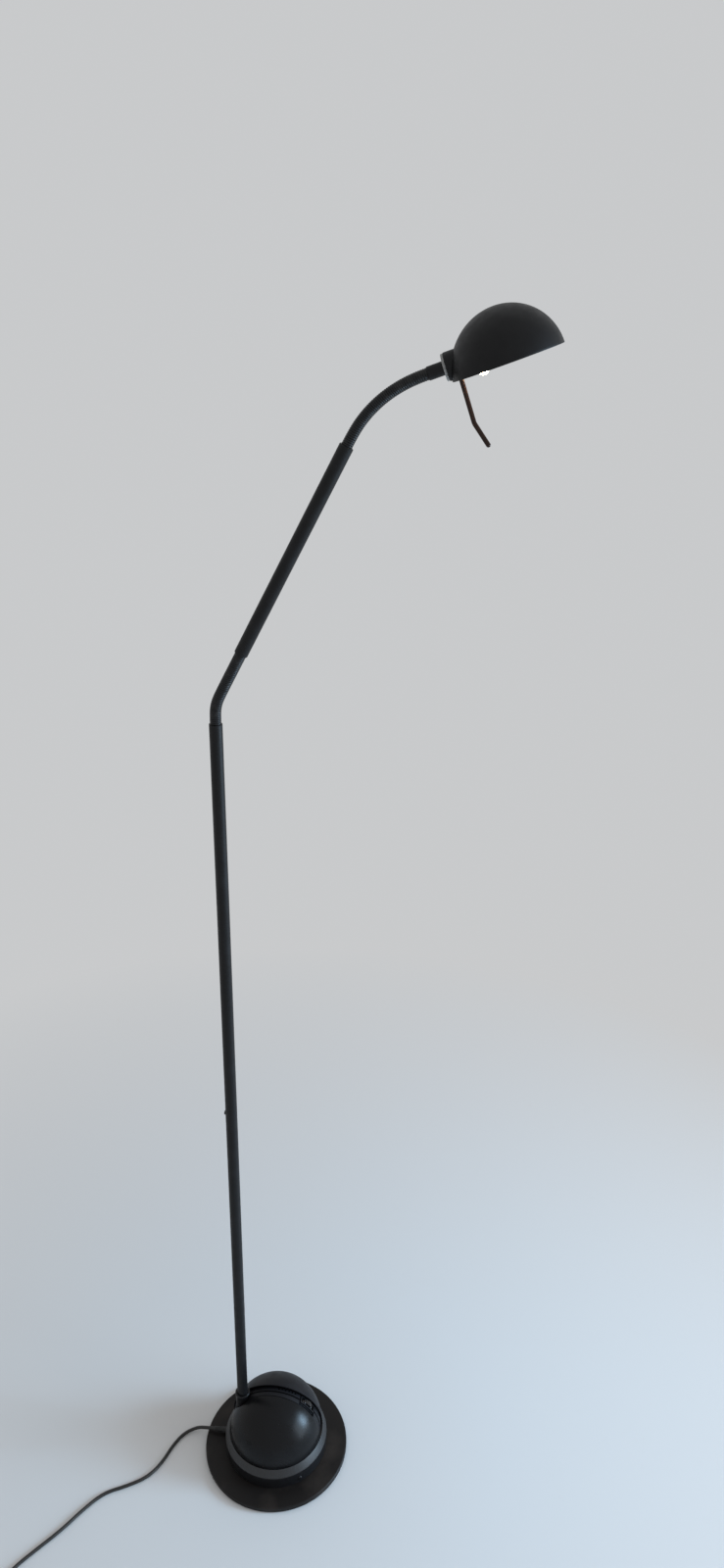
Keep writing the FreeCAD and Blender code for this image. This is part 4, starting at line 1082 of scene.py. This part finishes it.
def make_handle():
    # a thin rod: straight down, a bend outwards, and a rounded end
    radius = 2.5 * MM
    x = strap_back - radius
    top = 7.5 * MM
    drop = 44.6 * MM
    tip_drop = 69.5 * MM
    tip_reach = 7.4 * MM
    bend_radius = 14.0 * MM
    bend = math.atan2(tip_reach, tip_drop - drop)
    reach = bend_radius * math.tan(bend / 2)
    along = Vector((math.sin(bend), 0, -math.cos(bend)))
    last_run = math.hypot(tip_reach, tip_drop - drop) - reach
    cap_steps = 6
    cap_angle = math.pi / 2 / cap_steps
    least_share = 0.02
    deselect()
    bpy.ops.mesh.primitive_circle_add(vertices=small_steps, radius=radius, fill_type="NGON")
    rod = bpy.context.object
    rod.name = "bent_handle"
    rod.data.name = "bent_handle"
    moved(rod, Matrix.Translation((x, 0, top)))
    bpy.ops.object.mode_set(mode="EDIT")
    bpy.ops.mesh.select_all(action="SELECT")
    bpy.ops.mesh.extrude_region_move(
        TRANSFORM_OT_translate={"value": (0, 0, -(top + drop - reach))})
    bpy.ops.mesh.spin(steps=12, angle=bend, center=(x + bend_radius, 0, -drop + reach),
                      axis=(0, 1, 0))
    bpy.ops.mesh.extrude_region_move(TRANSFORM_OT_translate={"value": along * last_run})
    for i in range(cap_steps):
        before = cap_angle * i
        after = cap_angle * (i + 1)
        step = along * radius * (math.sin(after) - math.sin(before))
        share = max(math.cos(after), least_share) / math.cos(before)
        bpy.ops.mesh.extrude_region_move(TRANSFORM_OT_translate={"value": step})
        bpy.ops.transform.resize(value=(share, share, share))
    bpy.ops.mesh.select_all(action="SELECT")
    bpy.ops.mesh.remove_doubles(threshold=merge_distance)
    bpy.ops.mesh.normals_make_consistent(inside=False)
    bpy.ops.object.mode_set(mode="OBJECT")
    dress(smooth(moved(rod, on_head()), 50), "head", "rod_paint", "handle_rod")


# What stays from the part itself

def finish_kept_nodes():
    kept = {
        "felt": ["floor_pad"],
        "pot": ["dimmer_pot"],
        "board": ["dimmer_board"],
        "zinc": ["dimmer_bracket", "transformer_dish", "lamp_bracket"],
        "screw_steel": ["dimmer_screws", "transformer_bolt", "transformer_nut", "housing_screws",
                        "socket_screws", "pole_foot_plug", "pole_bolt", "pole_spigot",
                        "pole_top_bush", "arm_lower_bush", "arm_upper_bush", "neck_nipple",
                        "nipple_nut", "shade_spacer"],
        "transformer_tape": ["transformer"],
        "terminal": ["terminal_block"],
        "porcelain": ["lamp_holder"],
    }
    for slot, names in kept.items():
        for name in names:
            nodes[name].data.materials.clear()
            nodes[name].data.materials.append(finishes[slot])


# Floor, world and light

pale = (0.97, 0.985, 1.0)
pale_level = 0.60              # as the camera and mirroring surfaces see the background
lit_level = 0.46               # as it lights matt surfaces
floor_grey = (0.80, 0.80, 0.80)
fade_start = 0.35
fade_end = 1.5


def seen_directly(tree):
    # 1 for the camera and for what glossy and clear surfaces show, else 0
    path = tree.nodes.new("ShaderNodeLightPath")
    share = path.outputs["Is Camera Ray"]
    for other in ("Is Glossy Ray", "Is Transmission Ray"):
        either = tree.nodes.new("ShaderNodeMath")
        either.operation = "MAXIMUM"
        tree.links.new(share, either.inputs[0])
        tree.links.new(path.outputs[other], either.inputs[1])
        share = either.outputs["Value"]
    return share


def make_floor():
    # pale, and fading into the same pale background away from the lamp
    deselect()
    bpy.ops.mesh.primitive_plane_add(size=16)
    floor = bpy.context.object
    floor.name = "studio_floor"
    material, tree, shader = new_finish("studio_floor")
    shader.inputs["Base Color"].default_value = (*floor_grey, 1)
    shader.inputs["Roughness"].default_value = 0.7
    shader.inputs["Specular IOR Level"].default_value = 0.2
    place = tree.nodes.new("ShaderNodeTexCoord")
    distance = tree.nodes.new("ShaderNodeVectorMath")
    distance.operation = "LENGTH"
    tree.links.new(place.outputs["Object"], distance.inputs[0])
    faded = tree.nodes.new("ShaderNodeMath")
    faded.operation = "MULTIPLY"
    away = spread(tree, distance.outputs["Value"], fade_start, fade_end, 0.0, 1.0)
    tree.links.new(away, faded.inputs[0])
    tree.links.new(seen_directly(tree), faded.inputs[1])
    glow = tree.nodes.new("ShaderNodeEmission")
    glow.inputs["Color"].default_value = (*pale, 1)
    glow.inputs["Strength"].default_value = pale_level
    mix = tree.nodes.new("ShaderNodeMixShader")
    tree.links.new(faded.outputs["Value"], mix.inputs["Fac"])
    tree.links.new(shader.outputs["BSDF"], mix.inputs[1])
    tree.links.new(glow.outputs["Emission"], mix.inputs[2])
    tree.links.new(mix.outputs["Shader"], tree.nodes["Material Output"].inputs["Surface"])
    floor.data.materials.append(material)


def make_world():
    world = bpy.data.worlds.new("studio")
    world.use_nodes = True
    tree = world.node_tree
    background = tree.nodes["Background"]
    background.inputs["Color"].default_value = (*pale, 1)
    tree.links.new(spread(tree, seen_directly(tree), 0.0, 1.0, lit_level, pale_level),
                   background.inputs["Strength"])
    bpy.context.scene.world = world


def area_light(name, place, target, size, height, power, colour):
    data = bpy.data.lights.new(name, "AREA")
    data.shape = "RECTANGLE"
    data.size = size
    data.size_y = height
    data.energy = power
    data.color = colour
    light = bpy.data.objects.new(name, data)
    bpy.context.scene.collection.objects.link(light)
    towards = Vector(target) - Vector(place)
    turn = towards.to_track_quat("-Z", "Y").to_matrix().to_4x4()
    light.matrix_world = Matrix.Translation(place) @ turn


def from_side(azimuth, elevation, distance):
    # azimuth in degrees from +X towards +Y
    turn = math.radians(azimuth)
    rise = math.radians(elevation)
    return (distance * math.cos(rise) * math.cos(turn), distance * math.cos(rise) * math.sin(turn),
            distance * math.sin(rise))


def make_lights():
    # a window to the right, and its wide soft surround
    area_light("window", from_side(4, 21, 3.0), (0, 0, 0.1), 0.70, 1.05, 62, (0.48, 0.74, 1.0))
    area_light("window_glow", (2.95, -0.3, 0.95), (0, 0, 0.3), 2.1, 1.9, 50, (0.70, 0.85, 1.0))


make_camera()
lead, lead_start, lead_end, lead_heading = make_cord()
plug, plug_pin_pair = make_plug(lead_end, lead_heading)
make_strain_relief()
make_disc()
make_drum()
make_front_dome()
make_rear_dome()
make_arch()
make_thumbwheel()
make_screws()
make_pole()
make_arm()
make_necks()
make_sleeve()
make_washer()
make_collar()
make_shade()
make_reflector()
make_bulb()
make_handle()
finish_kept_nodes()
make_floor()
make_world()
make_lights()
bpy.context.scene.view_settings.view_transform = "Standard"
